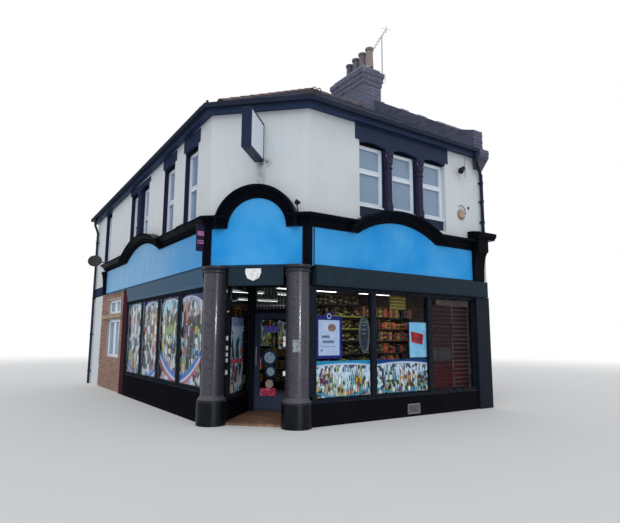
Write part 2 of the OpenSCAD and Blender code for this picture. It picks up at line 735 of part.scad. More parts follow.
module flank_surround(w) {
    lintel(flank_x(w[0]), window_width(w[1]), w[1],
           soffit_z - fall(w[0] + window_width(w[1]) / 2 + lintel_lap) - joint_gap);
    if (w[1] == 2) window_post(flank_x(w[0]), flank_foot_z);
}

module sash(w, h, rail) difference() {
    cube([w, frame_d, h]);
    for (part = sash_parts(h, rail)) translate([frame_w, -eps, part[0]])
        cube([w - 2 * frame_w, frame_d + 2 * eps, part[1] - part[0]]);
}
module sash_glass(w, h, rail) for (part = sash_parts(h, rail))
    translate([frame_w, (frame_d - glass_t) / 2, part[0]])
        cube([w - 2 * frame_w, glass_t, part[1] - part[0]]);
function sash_parts(h, rail) = rail == 0 ? [[frame_w, h - frame_w]]
    : [[frame_w, rail - rail_h / 2], [rail + rail_h / 2, h - frame_w]];

module front_lights() for (i = [0 : 2])
    translate([triple_x + light_x(i, triple_w, 3) - light_w(triple_w, 3) / 2, window_set, window_foot_z])
        children();
module flank_lights() flank_face() for (w = flank_windows, i = [0 : w[1] - 1])
    translate([flank_x(w[0]) + light_x(i, window_width(w[1]), w[1]) - light_w(window_width(w[1]), w[1]) / 2,
               window_set, flank_foot_z]) children();
module panel_lights_place(light) flank_face()
    translate([flank_x(panel_window_y) - panel_window_w / 2, 60, light[0]]) children();
function rear_rail(w) = (w[2] - w[1]) / 2 + 50;

module front_window_frames() color("white") front_lights() sash(light_w(triple_w, 3), window_h, rail_up);
module flank_window_frames() color("white") {
    flank_lights() sash(single_w, flank_window_h, flank_rail_up);
    for (light = panel_lights) panel_lights_place(light)
        for (i = [0, 1]) translate([i * panel_window_w / 2, 0, 0])
            sash(panel_window_w / 2, light[1] - light[0], 0);
}
module rear_window_frames() color("white") rear_face() for (w = rear_windows)
    translate([w[0] - single_w / 2, window_set, w[1]]) sash(single_w, w[2] - w[1], rear_rail(w));
module upper_glass() color("lightcyan", 0.4) {
    front_lights() sash_glass(light_w(triple_w, 3), window_h, rail_up);
    flank_lights() sash_glass(single_w, flank_window_h, flank_rail_up);
    for (light = panel_lights) panel_lights_place(light)
        for (i = [0, 1]) translate([i * panel_window_w / 2, 0, 0])
            sash_glass(panel_window_w / 2, light[1] - light[0], 0);
    rear_face() for (w = rear_windows)
        translate([w[0] - single_w / 2, window_set, w[1]])
            sash_glass(single_w, w[2] - w[1], rear_rail(w));
}

// The space under a slope that rises inwards from a face, lowered by drop
module under_slope(x0, x1, rise, drop) translate([x0, 0, 0]) rotate([90, 0, 90]) linear_extrude(x1 - x0)
    polygon([[-roof_edge, roof_floor_z], [-roof_edge, eaves_z - drop],
             [flank_l, eaves_z - drop + (flank_l + roof_edge) * rise], [flank_l, roof_floor_z]]);
// A pitched prism across the building between two lines, each at its own height
module under_range(y0, z0, y1, z1, drop) translate([-roof_edge, 0, 0]) rotate([90, 0, 90])
    linear_extrude(party_x + roof_edge) polygon([
        [y0, roof_floor_z], [y0, z0 - drop], [(y0 + y1) / 2 + (z1 - z0) / slope / 2,
         (z0 + z1) / 2 + (y1 - y0) / 2 * slope - drop], [y1, z1 - drop], [y1, roof_floor_z]]);

// The side street slope, tilted so that its edge falls with the eaves
module under_fallen_slope(drop) flank_face() translate([flank_x(fall_start), 0, eaves_z])
    rotate([0, -fall_angle, 0]) translate([0, 0, -eaves_z])
        under_slope(-flank_l, flank_l, flank_slope, drop);

module under_main_roof(drop) intersection() {
    under_range(-roof_edge, eaves_z, range_end, valley_z, drop);
    flank_face() under_slope(-flank_l, 2 * flank_l, flank_slope, drop);
    under_fallen_slope(drop);
    corner_face() under_slope(-flank_l, flank_l, corner_slope, drop);
}
module under_rear_roof(drop) intersection() {
    under_range(range_end, valley_z, flank_l + roof_edge, rear_eaves_z, drop);
    under_fallen_slope(drop);
}
module main_roof() color([0.3, 0.27, 0.26]) difference() {
    under_main_roof(0);
    under_main_roof(roof_t);
    stack_box(0, party_x + eps, roof_floor_z, stack_shaft_z);
}
module rear_roof() color([0.3, 0.27, 0.26]) difference() {
    under_rear_roof(0);
    under_rear_roof(roof_t);
}

// Plan of a bar under the level eaves: the front, the cut-off corner and the start of the side street
function eaves_bend(a, b) = bent(a, b, party_x, fall_start);
// A bar round the eaves between offsets a and b and two heights, falling with the side street wall
module eaves_bar(a, b, z0, z1) {
    slab(eaves_bend(b, a), z0, z1);
    flank_band(a, b, fall_start - eps, flank_l + b, z0, z1, 0);
    translate([-a - eps, flank_l + a, z0 - rear_drop])
        cube([party_x + a + eps, b - a, z1 - z0]);
}

module eaves_boards() color([0.15, 0.2, 0.27]) {
    eaves_bar(0, fascia_reach, soffit_z, soffit_z + eaves_board_t);
    eaves_bar(fascia_reach - eaves_board_t, fascia_reach, soffit_z, fascia_top_z);
}

module rainwater_goods() color([0.1, 0.11, 0.13]) {
    difference() {
        eaves_bar(fascia_reach, fascia_reach + gutter_w, gutter_z, gutter_z + gutter_h);
        eaves_bar(fascia_reach + gutter_t, fascia_reach + gutter_w - gutter_t, gutter_z + gutter_t,
                  gutter_z + gutter_h + eps);
    }
    pipe([[outlet_x, -gutter_out, spigot_z], [outlet_x, -gutter_out, soffit_z - outlet_drop],
          [downpipe_x, -pipe_out, soffit_z - neck_drop], [downpipe_x, -pipe_out, console_cap_z + cap_flat]]);
    flank_face() pipe([
        [flank_x(downpipe_y), -gutter_out, spigot_z - fall(downpipe_y)],
        [flank_x(downpipe_y), -gutter_out, soffit_z - outlet_drop - fall(downpipe_y)],
        [flank_x(downpipe_y), -pipe_out, soffit_z - neck_drop - fall(downpipe_y)],
        [flank_x(downpipe_y), -pipe_out, 0]]);
}

// A downpipe through a list of points from its top to its foot, with round bends
module pipe(points) {
    for (i = [0 : len(points) - 2]) {
        run = points[i + 1] - points[i];
        translate(points[i]) rotate([0, acos(run[2] / norm(run)), atan2(run[1], run[0])])
            cylinder(d = downpipe_d, h = norm(run));
        if (i > 0) translate(points[i]) sphere(d = bend_d);
    }
}

// A box round the chimney shaft, from x0, grown by g on every side
module stack_box(g, x1, z0, z1) translate([stack_x - g, stack_y - g, z0])
    cube([x1 - stack_x + g, stack_l + 2 * g, z1 - z0]);
// The sloped mortar on top of the stack, across a width
module flaunch(w) polygon([[0, -eps], [w, -eps], [w, 20], [w - flaunch_in, stack_top_z - flaunch_z],
                           [flaunch_in, stack_top_z - flaunch_z], [0, 20]]);
module chimney_stack() color([0.35, 0.27, 0.25]) difference() {
    union() {
        stack_box(0, stack_x + stack_w, stack_foot_z, stack_shaft_z);
        for (i = [0 : len(corbel_steps) - 1])
            stack_box(corbel_steps[i] * corbel_step, stack_x + stack_w + corbel_steps[i] * corbel_step,
                      stack_shaft_z + i * corbel_h, stack_shaft_z + (i + 1) * corbel_h);
        stack_box(0, stack_x + stack_w, corbel_top_z, flaunch_z);
        translate([stack_x, stack_y, flaunch_z]) intersection() {
            translate([0, stack_l, 0]) rotate([90, 0, 0]) linear_extrude(stack_l) flaunch(stack_w);
            rotate([90, 0, 90]) linear_extrude(stack_w) flaunch(stack_l);
        }
    }
    party_wall();
    translate([stack_x, stack_y, stack_foot_z]) rotate([-90, 0, 0]) linear_extrude(3 * stack_l, center = true)
        polygon([[-eps, eps], [-eps, -stack_w], [stack_w, eps]]);
}

module chimney_pots() color("rosybrown") for (p = pots)
    translate([stack_x + stack_w / 2 + pot_shift, stack_y + p[0], stack_top_z]) rotate_extrude()
        polygon([[pot_d / 2 - pot_wall, 0], [pot_d / 2, 0], [pot_d / 2 - 15, p[1] - 90],
                 [pot_d / 2 + 10, p[1] - 60], [pot_d / 2 + 10, p[1]], [pot_d / 2 - 15 - pot_wall, p[1]]]);

// A mast on the ledge of the stack's corbels, with a boom of crossed rods over its top
module aerial() color("gray") translate([stack_x + stack_w + mast_set, stack_y - mast_set, 0]) {
    translate([0, 0, corbel_top_z]) cylinder(d = mast_d, h = mast_h);
    translate([0, 0, boom_z]) rotate([0, 0, -boom_turn]) {
        translate([0, boom_far, 0]) rotate([90, 0, 0]) cylinder(d = boom_d, h = boom_far + boom_near);
        for (i = [0 : boom_rods])
            translate([0, boom_far - 15 - i * (boom_far + boom_near - 30) / boom_rods, 0])
                rotate([0, 90, 0]) cylinder(d = rod_d, h = 2 * (i == boom_rods ? reflector_half : rod_half),
                                            center = true);
        translate([0, 15 - boom_near, 0]) cylinder(d = rod_d, h = 1.7 * reflector_half, center = true);
    }
}

module projecting_sign() color("white") corner_face() {
    translate([20 - box_sign_t / 2, -40 - box_sign_l, box_sign_z]) cube([box_sign_t, box_sign_l, box_sign_h]);
    for (z = [box_sign_z + 120, box_sign_z + box_sign_h - 160])
        translate([0, -40, z]) cube([40, 40, 40]);
}

module satellite_dish() color("gray") flank_face() translate([flank_x(dish_y), 0, dish_z]) {
    translate([-60, -15, -60]) cube([120, 15, 120]);
    rotate([90, 0, 0]) cylinder(d = 35, h = dish_reach);
    translate([0, -dish_reach, 0]) rotate([0, 65, -20]) intersection() {
        difference() {
            translate([0, 0, dish_r]) rotate([90, 0, 0]) sphere(r = dish_r, $fn = 64);
            translate([0, 0, dish_r + dish_t]) rotate([90, 0, 0]) sphere(r = dish_r, $fn = 64);
        }
        cylinder(r = dish_rim_r, h = 100);
    }
}

module ceiling_lights() color("white") for (x = light_x_places, y = light_y_places)
    translate([x, y, beam_z - 60]) cube([light_l, 90, 60]);

building() shop_floor();
building() lobby_floor();
building() upper_floor();
building() front_wall();
building() corner_wall();
building() flank_wall();
building() rear_wall();
building() party_wall();
building() flank_pier();
building() brick_panel();
building() shopfront_beam();
building() stall_risers();
building() left_column();
building() right_column();
building() shopfront_piers();
building() front_shop_frame();
building() flank_shop_frame();
building() lobby_side_frames();
building() door_posts();
building() entrance_transom();
building() shop_glass();
building() entrance_door();
building() door_glass();
building() door_handle();
building() front_sign();
building() corner_sign();
building() flank_sign();
building() shopfront_cornice();
building() shutter_boxes();
building() end_consoles();
building() window_surrounds();
building() front_window_frames();
building() flank_window_frames();
building() rear_window_frames();
building() upper_glass();
building() main_roof();
building() rear_roof();
building() eaves_boards();
building() rainwater_goods();
building() chimney_stack();
building() chimney_pots();
building() aerial();
building() projecting_sign();
building() satellite_dish();
building() ceiling_lights();
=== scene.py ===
"""Corner shop building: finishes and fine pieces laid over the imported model.

Lengths are in metres. Places on the walls are given as the distance along a face, the distance out
from it and the height, measured from the square corner of the plan at ground level. A block is a row
of along0, along1, out0, out1, z0, z1. A colour of three parts is as it is seen, 0 to 255 a channel.
"""
import math

import bmesh
import bpy
import numpy as np
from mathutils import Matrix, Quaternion, Vector
from mathutils.geometry import convex_hull_2d


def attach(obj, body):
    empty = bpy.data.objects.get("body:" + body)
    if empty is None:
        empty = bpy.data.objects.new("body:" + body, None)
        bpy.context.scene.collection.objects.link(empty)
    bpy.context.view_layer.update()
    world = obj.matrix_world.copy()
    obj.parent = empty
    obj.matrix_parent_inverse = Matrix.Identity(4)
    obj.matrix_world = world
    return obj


bl_info = {
    "name": "Corner Shop Building",
    "version": (1, 0, 0),
    "blender": (4, 5, 0),
    "location": "View3D > Sidebar > Corner Shop",
    "description": "Dresses the corner shop building with slates, bricks, fittings and finishes",
    "category": "Object",
}

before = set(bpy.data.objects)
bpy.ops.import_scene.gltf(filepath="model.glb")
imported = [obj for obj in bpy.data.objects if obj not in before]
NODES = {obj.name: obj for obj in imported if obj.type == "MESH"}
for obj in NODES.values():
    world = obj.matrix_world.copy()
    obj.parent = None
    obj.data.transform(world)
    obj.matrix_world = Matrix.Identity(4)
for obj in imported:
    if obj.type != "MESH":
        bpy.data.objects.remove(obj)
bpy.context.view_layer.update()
FINISH = {}
ORIGIN = np.array((3.2, 5.63, 0.0))
CORNER_MID = 0.675
ROOT2 = math.sqrt(2)
WALL, DOOR = "building", "door"
RNG_SEED = 11
# How far out from a face the films behind the shop glass lie, back and front, and then the posters
FILM = (-0.083, -0.081)
PAPER_BACK, PAPER = -0.086, -0.0835
# How far out from the corner face the door's stickers start
DOOR_GLASS = -1.5738
# The length and height of a brick with its joints
BRICK, COURSE = 0.225, 0.075


def place(face, along, out, z):
    """Points on a face. The front runs along x and faces -y, the side runs along y and faces -x, and the
    corner face runs both ways from its middle and faces the street corner at 45 degrees."""
    along, out, z = np.broadcast_arrays(*[np.asarray(v, float) for v in (along, out, z)])
    if face == "front":
        x, y = along, -out
    elif face == "side":
        x, y = -out, along
    else:
        x = CORNER_MID + (along - out) / ROOT2
        y = CORNER_MID - (along + out) / ROOT2
    return np.stack((x, y, z), -1) - ORIGIN


def turns(sides):
    """The angles of a ring's corners."""
    return np.linspace(0, 2 * np.pi, sides, endpoint=False)


def arc(face, along, z, out, wide, tall, turn):
    """Points about a place on a face, on an oval of the half width and half height given."""
    return place(face, along + wide * np.cos(turn), out, z + tall * np.sin(turn))


def blocks(face, spans, inset=0.0):
    """Blocks on a face, each drawn in by the inset at its outer end."""
    s = np.atleast_2d(np.asarray(spans, float))
    along = s[:, [0, 1, 1, 0, 0, 1, 1, 0]] + inset * np.array([0, 0, 0, 0, 1, -1, -1, 1])
    z = s[:, [4, 4, 5, 5, 4, 4, 5, 5]] + inset * np.array([0, 0, 0, 0, 1, 1, -1, -1])
    out = s[:, [2, 2, 2, 2, 3, 3, 3, 3]]
    return place(face, along, out, z).reshape(-1, 3), [block_quads(len(s))]


def block_quads(count):
    """The faces of a number of blocks of eight corners."""
    quads = np.array([[0, 3, 2, 1], [4, 5, 6, 7], [0, 1, 5, 4], [1, 2, 6, 5], [2, 3, 7, 6], [3, 0, 4, 7]])
    return (quads[None] + 8 * np.arange(count)[:, None, None]).reshape(-1, 4)


def rings(face, frames, width, out0, out1, inset=0.0):
    """Rectangular frames on a face, each of four blocks inside along0, along1, z0, z1."""
    a0, a1, z0, z1 = np.atleast_2d(np.asarray(frames, float)).T
    sides = [(a0, a0 + width, z0, z1), (a1 - width, a1, z0, z1),
             (a0 + width, a1 - width, z0, z0 + width), (a0 + width, a1 - width, z1 - width, z1)]
    spans = [np.stack((p[0], p[1], 0 * a0 + out0, 0 * a0 + out1, p[2], p[3]), -1) for p in sides]
    return blocks(face, np.concatenate(spans), inset)


def grid_quads(rows, columns, closed=False):
    """Quads between the neighbours of a grid whose rows may be closed rings."""
    r, c = np.meshgrid(np.arange(rows - 1), np.arange(columns - (not closed)), indexing="ij")
    after = (c + 1) % columns
    corners = (r * columns + c, (r + 1) * columns + c, (r + 1) * columns + after, r * columns + after)
    return np.stack(corners, -1).reshape(-1, 4)


def capped(points):
    """A grid of points whose rows are closed rings, with a middle point over each end ring."""
    rows, columns = points.shape[:2]
    count = rows * columns
    ring = np.arange(columns)
    after = np.roll(ring, -1)
    top = count - columns
    first = np.stack((ring, after, 0 * ring + count), -1)
    last = np.stack((after + top, ring + top, 0 * ring + count + 1), -1)
    ends = np.stack((points[0].mean(0), points[-1].mean(0)))
    return np.concatenate((points.reshape(-1, 3), ends)), [grid_quads(rows, columns, True), first, last]


def turned(profile, foot, axis=(0, 0, 1), sides=24):
    """A profile of radius and height turned about an axis that starts at foot."""
    p = np.asarray(profile, float)
    turn = turns(sides)
    flat = np.stack((p[:, :1] * np.cos(turn), p[:, :1] * np.sin(turn), np.repeat(p[:, 1:], sides, 1)), -1)
    matrix = np.array(Vector(axis).to_track_quat("Z", "Y").to_matrix())
    return capped(flat @ matrix.T + np.asarray(foot, float))


def tube(path, radius, sides=10):
    """A circle carried square to a path."""
    p = np.asarray(path, float)
    ahead = np.gradient(p, axis=0)
    ahead /= np.linalg.norm(ahead, axis=1)[:, None]
    side = np.cross(ahead, np.array((0.31, 0.17, 0.93)))
    side /= np.linalg.norm(side, axis=1)[:, None]
    up = np.cross(side, ahead)
    turn = turns(sides)[:, None]
    return capped(p[:, None] + radius * (side[:, None] * np.cos(turn) + up[:, None] * np.sin(turn)))


def disc(face, along, z, out, radius, thick=0.003, squash=1.0):
    """A thin round plate on a face, or an oval one where squash isn't 1."""
    shrink = np.array([1.0, 1.0, 0.96, 0.5])[:, None]
    outs = out + thick * np.array([0.0, 0.7, 1.0, 1.0])[:, None]
    return capped(arc(face, along, z, outs, shrink * radius * squash, shrink * radius, turns(40)))


def add_piece(name, finish, parts, body=WALL, tones=None, smooth=False, bevel=0.0,
              closed=True):
    """Makes a mesh object of the parts, turns the faces of closed shapes outwards, gives it a finish and
    lets it ride on a body. A part is its points and its groups of faces, which count from its first point."""
    verts, faces, count = [], [], 0
    for points, groups in parts:
        for group in groups:
            rows = group.tolist() if isinstance(group, np.ndarray) else group
            faces.extend([index + count for index in row] for row in rows)
        verts.append(points)
        count += len(points)
    mesh = bpy.data.meshes.new(name)
    mesh.from_pydata(np.concatenate(verts).tolist(), [], faces)
    if tones is not None:
        layer = mesh.attributes.new("tone", "FLOAT", "POINT")
        layer.data.foreach_set("value", np.asarray(tones, np.float32))
    if closed:
        shape = bmesh.new()
        shape.from_mesh(mesh)
        bmesh.ops.recalc_face_normals(shape, faces=shape.faces[:])
        shape.to_mesh(mesh)
        shape.free()
    if smooth:
        mesh.shade_smooth()
        mesh.set_sharp_from_angle(angle=math.radians(38))
    piece = bpy.data.objects.new(name, mesh)
    bpy.context.scene.collection.objects.link(piece)
    mesh.materials.append(FINISH[finish])
    if bevel:
        edge = piece.modifiers.new("edges", "BEVEL")
        edge.width = bevel
        edge.segments = 2
        edge.limit_method = "ANGLE"
    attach(piece, body)


def add_blocks(name, face, finish, spans, slot="sign_white", inset=0.0, body=WALL):
    """A piece of nothing but blocks on one face."""
    add_piece(name, finish, [blocks(face, spans, inset)], body)


def seen(colour):
    """A colour as it is seen, turned into the shader's linear colour. Linear colours, which have four
    parts, and sockets pass through."""
    if not isinstance(colour, tuple) or len(colour) == 4:
        return colour
    c = np.array(colour) / 255
    linear = np.where(c <= 0.04045, c / 12.92, ((c + 0.055) / 1.055) ** 2.4)
    return (*[float(v) for v in linear], 1.0)


def mix_of(a, b, share):
    """A colour part of the way between two."""
    return tuple((1 - share) * p + share * q for p, q in zip(seen(a), seen(b)))


class Recipe:
    """Puts nodes into one node tree and joins them."""

    def __init__(self, tree):
        self.tree = tree

    def put(self, kind, inputs=None, **settings):
        """A shader node with its settings, and its inputs fed with sockets or plain values."""
        node = self.tree.nodes.new("ShaderNode" + kind)
        for key, value in settings.items():
            setattr(node, key, value)
        for key, value in (inputs or {}).items():
            self.feed(node.inputs[key], value)
        return node

    def feed(self, socket, value):
        """Links a socket to an input, or gives the input a plain value."""
        if isinstance(value, bpy.types.NodeSocket):
            self.tree.links.new(value, socket)
        else:
            socket.default_value = value

    def sum(self, operation, *values, clamp=False):
        """One step of arithmetic on numbers."""
        return self.put("Math", dict(enumerate(values)), operation=operation, use_clamp=clamp).outputs[0]

    def times(self, first, *others):
        for other in others:
            first = self.sum("MULTIPLY", first, other)
        return first

    def plus(self, a, b):
        return self.sum("ADD", a, b)

    def minus(self, a, b):
        return self.sum("SUBTRACT", a, b)

    def vector(self, operation, *values, out=0):
        """One step of arithmetic on vectors. Output 1 is the number that it makes, where it makes one."""
        return self.put("VectorMath", dict(enumerate(values)), operation=operation).outputs[out]

    def part(self, vector, axis):
        """The x, y or z of a vector."""
        return self.put("SeparateXYZ", {0: vector}).outputs[axis]

    def join(self, *values):
        return self.put("CombineXYZ", dict(enumerate(values))).outputs[0]

    def blend(self, factor, a, b, mode="MIX"):
        """From colour a to colour b by the factor."""
        inputs = {0: factor, 6: seen(a), 7: seen(b)}
        return self.put("Mix", inputs, data_type="RGBA", blend_type=mode).outputs[2]

    def shaded(self, colour, value):
        """The colour times a grey."""
        return self.blend(1.0, colour, self.join(value, value, value), "MULTIPLY")

    def span(self, value, low, high, to_low=0.0, to_high=1.0, smooth=True):
        """A value carried from one range to another and held at the ends."""
        inputs = {"Value": value, "From Min": low, "From Max": high, "To Min": to_low, "To Max": to_high}
        kind = "SMOOTHSTEP" if smooth else "LINEAR"
        return self.put("MapRange", inputs, interpolation_type=kind).outputs[0]

    def ramp(self, factor, stops, steps=False):
        """A colour for each value of the factor: blended between the stops, or in steps from stop to stop."""
        node = self.put("ValToRGB", {"Fac": factor})
        node.color_ramp.interpolation = "CONSTANT" if steps else "LINEAR"
        elements = node.color_ramp.elements
        while len(elements) < len(stops):
            elements.new(0.5)
        for element, (position, colour) in zip(elements, stops):
            element.position = position
            element.color = seen(colour)
        return node.outputs[0]

    def noise(self, vector, scale, detail, roughness=0.55):
        inputs = {"Vector": vector, "Scale": scale, "Detail": detail, "Roughness": roughness}
        return self.put("TexNoise", inputs).outputs["Fac"]

    def group(self, name, **inputs):
        return self.put("Group", inputs, node_tree=bpy.data.node_groups[name]).outputs


def new_group(name, vectors, values, outputs, out_vectors=""):
    """An empty node group with its inputs and outputs named, and its recipe."""
    tree = bpy.data.node_groups.new(name, "ShaderNodeTree")
    for labels, way, kind in ((vectors, "INPUT", "Vector"), (values, "INPUT", "Float"),
                              (outputs, "OUTPUT", "Float"), (out_vectors, "OUTPUT", "Vector")):
        for label in labels.split():
            tree.interface.new_socket(label, in_out=way, socket_type="NodeSocket" + kind)
    return Recipe(tree), tree.nodes.new("NodeGroupInput").outputs, tree.nodes.new("NodeGroupOutput").inputs


def make_groups():
    """The effects that several finishes share."""
    # Distance along a wall and height, from a point and the way its surface faces
    r, i, o = new_group("wall plane", "Position Facing", "", "Along Height", "Plane")
    level = r.vector("NORMALIZE", r.vector("CROSS_PRODUCT", (0, 0, 1), i["Facing"]))
    along = r.vector("DOT_PRODUCT", level, i["Position"], out=1)
    height = r.part(i["Position"], 2)
    r.feed(o["Along"], along)
    r.feed(o["Height"], height)
    r.feed(o["Plane"], r.join(along, height))

    # Dirt carried down a wall by rain: noise drawn out along the height
    r, i, o = new_group("rain streaks", "Plane", "Width Length", "Mask")
    drawn = r.join(r.sum("DIVIDE", r.part(i["Plane"], 0), i["Width"]),
                   r.sum("DIVIDE", r.part(i["Plane"], 1), i["Length"]))
    fine = r.span(r.noise(drawn, 1, 4, 0.62), 0.45, 0.8)
    r.feed(o["Mask"], r.times(fine, r.span(r.noise(i["Plane"], 0.9, 2), 0.35, 0.65)))

    # Uneven tone over a surface
    r, i, o = new_group("mottle", "Position", "Size Strength", "Value")
    coarse = r.noise(i["Position"], r.sum("DIVIDE", 1, i["Size"]), 5, 0.6)
    r.feed(o["Value"], r.sum("MULTIPLY_ADD", r.minus(coarse, 0.5), i["Strength"], 1))

    # Dust and dirt that settles on what faces up
    r, i, o = new_group("settled dirt", "Position Facing", "Amount", "Mask")
    patch = r.span(r.noise(i["Position"], 7, 5, 0.65), 0.32, 0.62)
    dust = r.times(r.span(r.part(i["Facing"], 2), 0.25, 0.95), patch)
    r.feed(o["Mask"], r.sum("MULTIPLY", dust, i["Amount"], clamp=True))

    # A soft round or long stain about a point
    r, i, o = new_group("stain", "Position Centre Reach", "", "Mask")
    away = r.vector("DIVIDE", r.vector("SUBTRACT", i["Position"], i["Centre"]), i["Reach"])
    near = r.span(r.vector("LENGTH", away, out=1), 0.1, 1, 1, 0)
    r.feed(o["Mask"], r.times(near, r.span(r.noise(i["Position"], 14, 4), 0.25, 0.6)))

    # Courses of bricks or tiles: where the joints are, and a tone for each
    r, i, o = new_group("courses", "Plane", "Length Height Joint", "Joints Tone")
    rough = r.noise(i["Plane"], 60, 2)
    wander = r.put("VectorMath", {0: r.join(rough, rough), "Scale": 0.004}, operation="SCALE").outputs[0]
    brick = r.put("TexBrick", {
        "Vector": r.vector("ADD", i["Plane"], wander), "Color1": (0, 0, 0, 1), "Color2": (1, 1, 1, 1),
        "Mortar": (0.5, 0.5, 0.5, 1), "Scale": 1, "Mortar Size": i["Joint"], "Mortar Smooth": 0.15,
        "Brick Width": i["Length"], "Row Height": i["Height"]}).outputs
    r.feed(o["Joints"], brick["Fac"])
    r.feed(o["Tone"], brick["Color"])

    # One row of upright bottles and packs: their outline, a number for each, the label band and roundness
    r, i, o = new_group("bottle row", "", "Along Height Foot Tall Pitch Seed", "Mask Pick Label Round")
    steps = r.plus(r.sum("DIVIDE", i["Along"], i["Pitch"]), r.times(i["Seed"], 7.37))
    key = r.join(r.sum("FLOOR", steps), i["Seed"])
    pick = r.put("TexWhiteNoise", {"Vector": key}, noise_dimensions="2D").outputs["Value"]
    tall = r.times(i["Tall"], r.span(pick, 0, 1, 0.68, 1, smooth=False))
    up = r.sum("DIVIDE", r.minus(i["Height"], i["Foot"]), tall)
    across = r.sum("ABSOLUTE", r.minus(r.sum("FRACT", steps), 0.5))
    widths = ((0, 0.4), (0.52, 0.42), (0.68, 0.3), (0.76, 0.15), (0.93, 0.13), (1, 0.17))
    half = r.ramp(up, [(at, (wide, wide, wide, 1)) for at, wide in widths])
    inside = r.times(r.sum("LESS_THAN", across, half),
                     r.times(r.sum("GREATER_THAN", up, 0), r.sum("LESS_THAN", up, 1)))
    r.feed(o["Mask"], inside)
    r.feed(o["Pick"], pick)
    r.feed(o["Label"], r.times(r.sum("GREATER_THAN", up, 0.14), r.sum("LESS_THAN", up, 0.4), inside))
    r.feed(o["Round"], r.minus(1, r.sum("DIVIDE", across, 0.5)))


class Finish(Recipe):
    """A material being made: the shader, the place on the object and the way the surface faces."""

    def __init__(self, name, roughness, **sockets):
        self.material = bpy.data.materials.new(name)
        FINISH[name] = self.material
        self.material.use_nodes = True
        super().__init__(self.material.node_tree)
        self.shader = self.tree.nodes["Principled BSDF"]
        for key, value in dict(sockets, Roughness=roughness).items():
            self.shader.inputs[key.replace("_", " ")].default_value = value
        spot = self.put("TexCoord").outputs
        self.place, self.facing = spot["Object"], spot["Normal"]
        plane = self.group("wall plane", Position=self.place, Facing=self.facing)
        self.along, self.height, self.plane = plane["Along"], plane["Height"], plane["Plane"]

    def give(self, colour, relief=None, strength=0.0, depth=0.0, rough=None):
        """Feeds the shader its colour, and its relief and roughness where there are any."""
        self.feed(self.shader.inputs["Base Color"], colour)
        if rough:
            self.feed(self.shader.inputs["Roughness"], rough)
        if relief:
            bump = self.put("Bump", {"Height": relief, "Strength": strength, "Distance": depth})
            self.feed(self.shader.inputs["Normal"], bump.outputs[0])

    def tone(self):
        """The number from 0 to 1 that each laid brick, slate or pack carries."""
        return self.put("Attribute", attribute_name="tone").outputs["Fac"]

    def grain(self, scale, detail, roughness=0.55):
        return self.noise(self.place, scale, detail, roughness)

    def patch(self, scale, detail, low, high, most=1.0, roughness=0.55):
        """Patches of noise between two of its values, none to the most."""
        return self.span(self.grain(scale, detail, roughness), low, high, 0, most)

    def mottled(self, colour, size, strength):
        """The colour made lighter and darker in patches."""
        return self.shaded(colour, self.group("mottle", Position=self.place, Size=size,
                                              Strength=strength)["Value"])

    def streaked(self, colour, dirt, amount, width, length):
        """The colour with rain streaks of dirt over it."""
        mask = self.group("rain streaks", Plane=self.plane, Width=width, Length=length)["Mask"]
        return self.blend(self.times(mask, amount), colour, dirt)

    def dusted(self, colour, dirt, amount):
        """The colour with dirt settled on what faces up."""
        mask = self.group("settled dirt", Position=self.place, Facing=self.facing, Amount=amount)["Mask"]
        return self.blend(mask, colour, dirt)


def cream_render(colour, spots):
    """Painted render: rain streaks, greyer towards the eaves, and stains about chosen spots."""
    f = Finish("cream_render", 0.82)
    base = f.mottled(f.mottled(colour, 0.7, 0.07), 0.08, 0.05)
    base = f.streaked(base, (158, 158, 150), 0.16, 0.035, 1.1)
    base = f.streaked(base, (172, 168, 152), 0.26, 0.3, 2.6)
    base = f.blend(f.span(f.height, 5.05, 5.75, 0, 0.16), base, (158, 160, 160))
    for centre, reach, amount in spots:
        mask = f.group("stain", Position=f.place, Centre=centre, Reach=reach)["Mask"]
        base = f.blend(f.times(mask, amount), base, (92, 90, 84))
    f.give(base, f.plus(f.grain(90, 3), f.grain(6, 3)), 0.25, 0.004)


def brickwork(name, dark, light, mortar, laid=True, soot=None):
    """Bricks: a tone for each brick, from the laid bricks or from courses, with pale salts, and black soot
    above the height soot."""
    f = Finish(name, 0.88)
    courses = f.group("courses", Plane=f.plane, Length=BRICK, Height=COURSE, Joint=0.006)
    tone = f.tone() if laid else courses["Tone"]
    value = f.plus(f.times(tone, 0.7), f.times(f.grain(22, 5, 0.7), 0.45))
    base = f.ramp(value, [(0.1, dark), (0.55, light), (0.95, mix_of(light, dark, 0.45))])
    if not laid:
        base = f.blend(courses["Joints"], base, mortar)
    base = f.streaked(base, mix_of(dark, (0.02, 0.02, 0.02, 1), 0.5), 0.65, 0.12, 0.8)
    base = f.blend(f.patch(3, 4, 0.58, 0.75, 0.3), base, mortar)
    if soot:
        ragged = f.plus(f.height, f.grain(2, 4))
        black = f.ramp(value, [(0.3, (42, 54, 80)), (0.55, (50, 64, 94)), (0.8, (60, 74, 104))])
        base = f.blend(f.span(ragged, soot, soot + 1.6, 0, 0.85), base, black)
    grain = f.grain(130, 3)
    if not laid:
        grain = f.minus(f.times(grain, 0.3), courses["Joints"])
    f.give(base, grain, 0.5, 0.004)


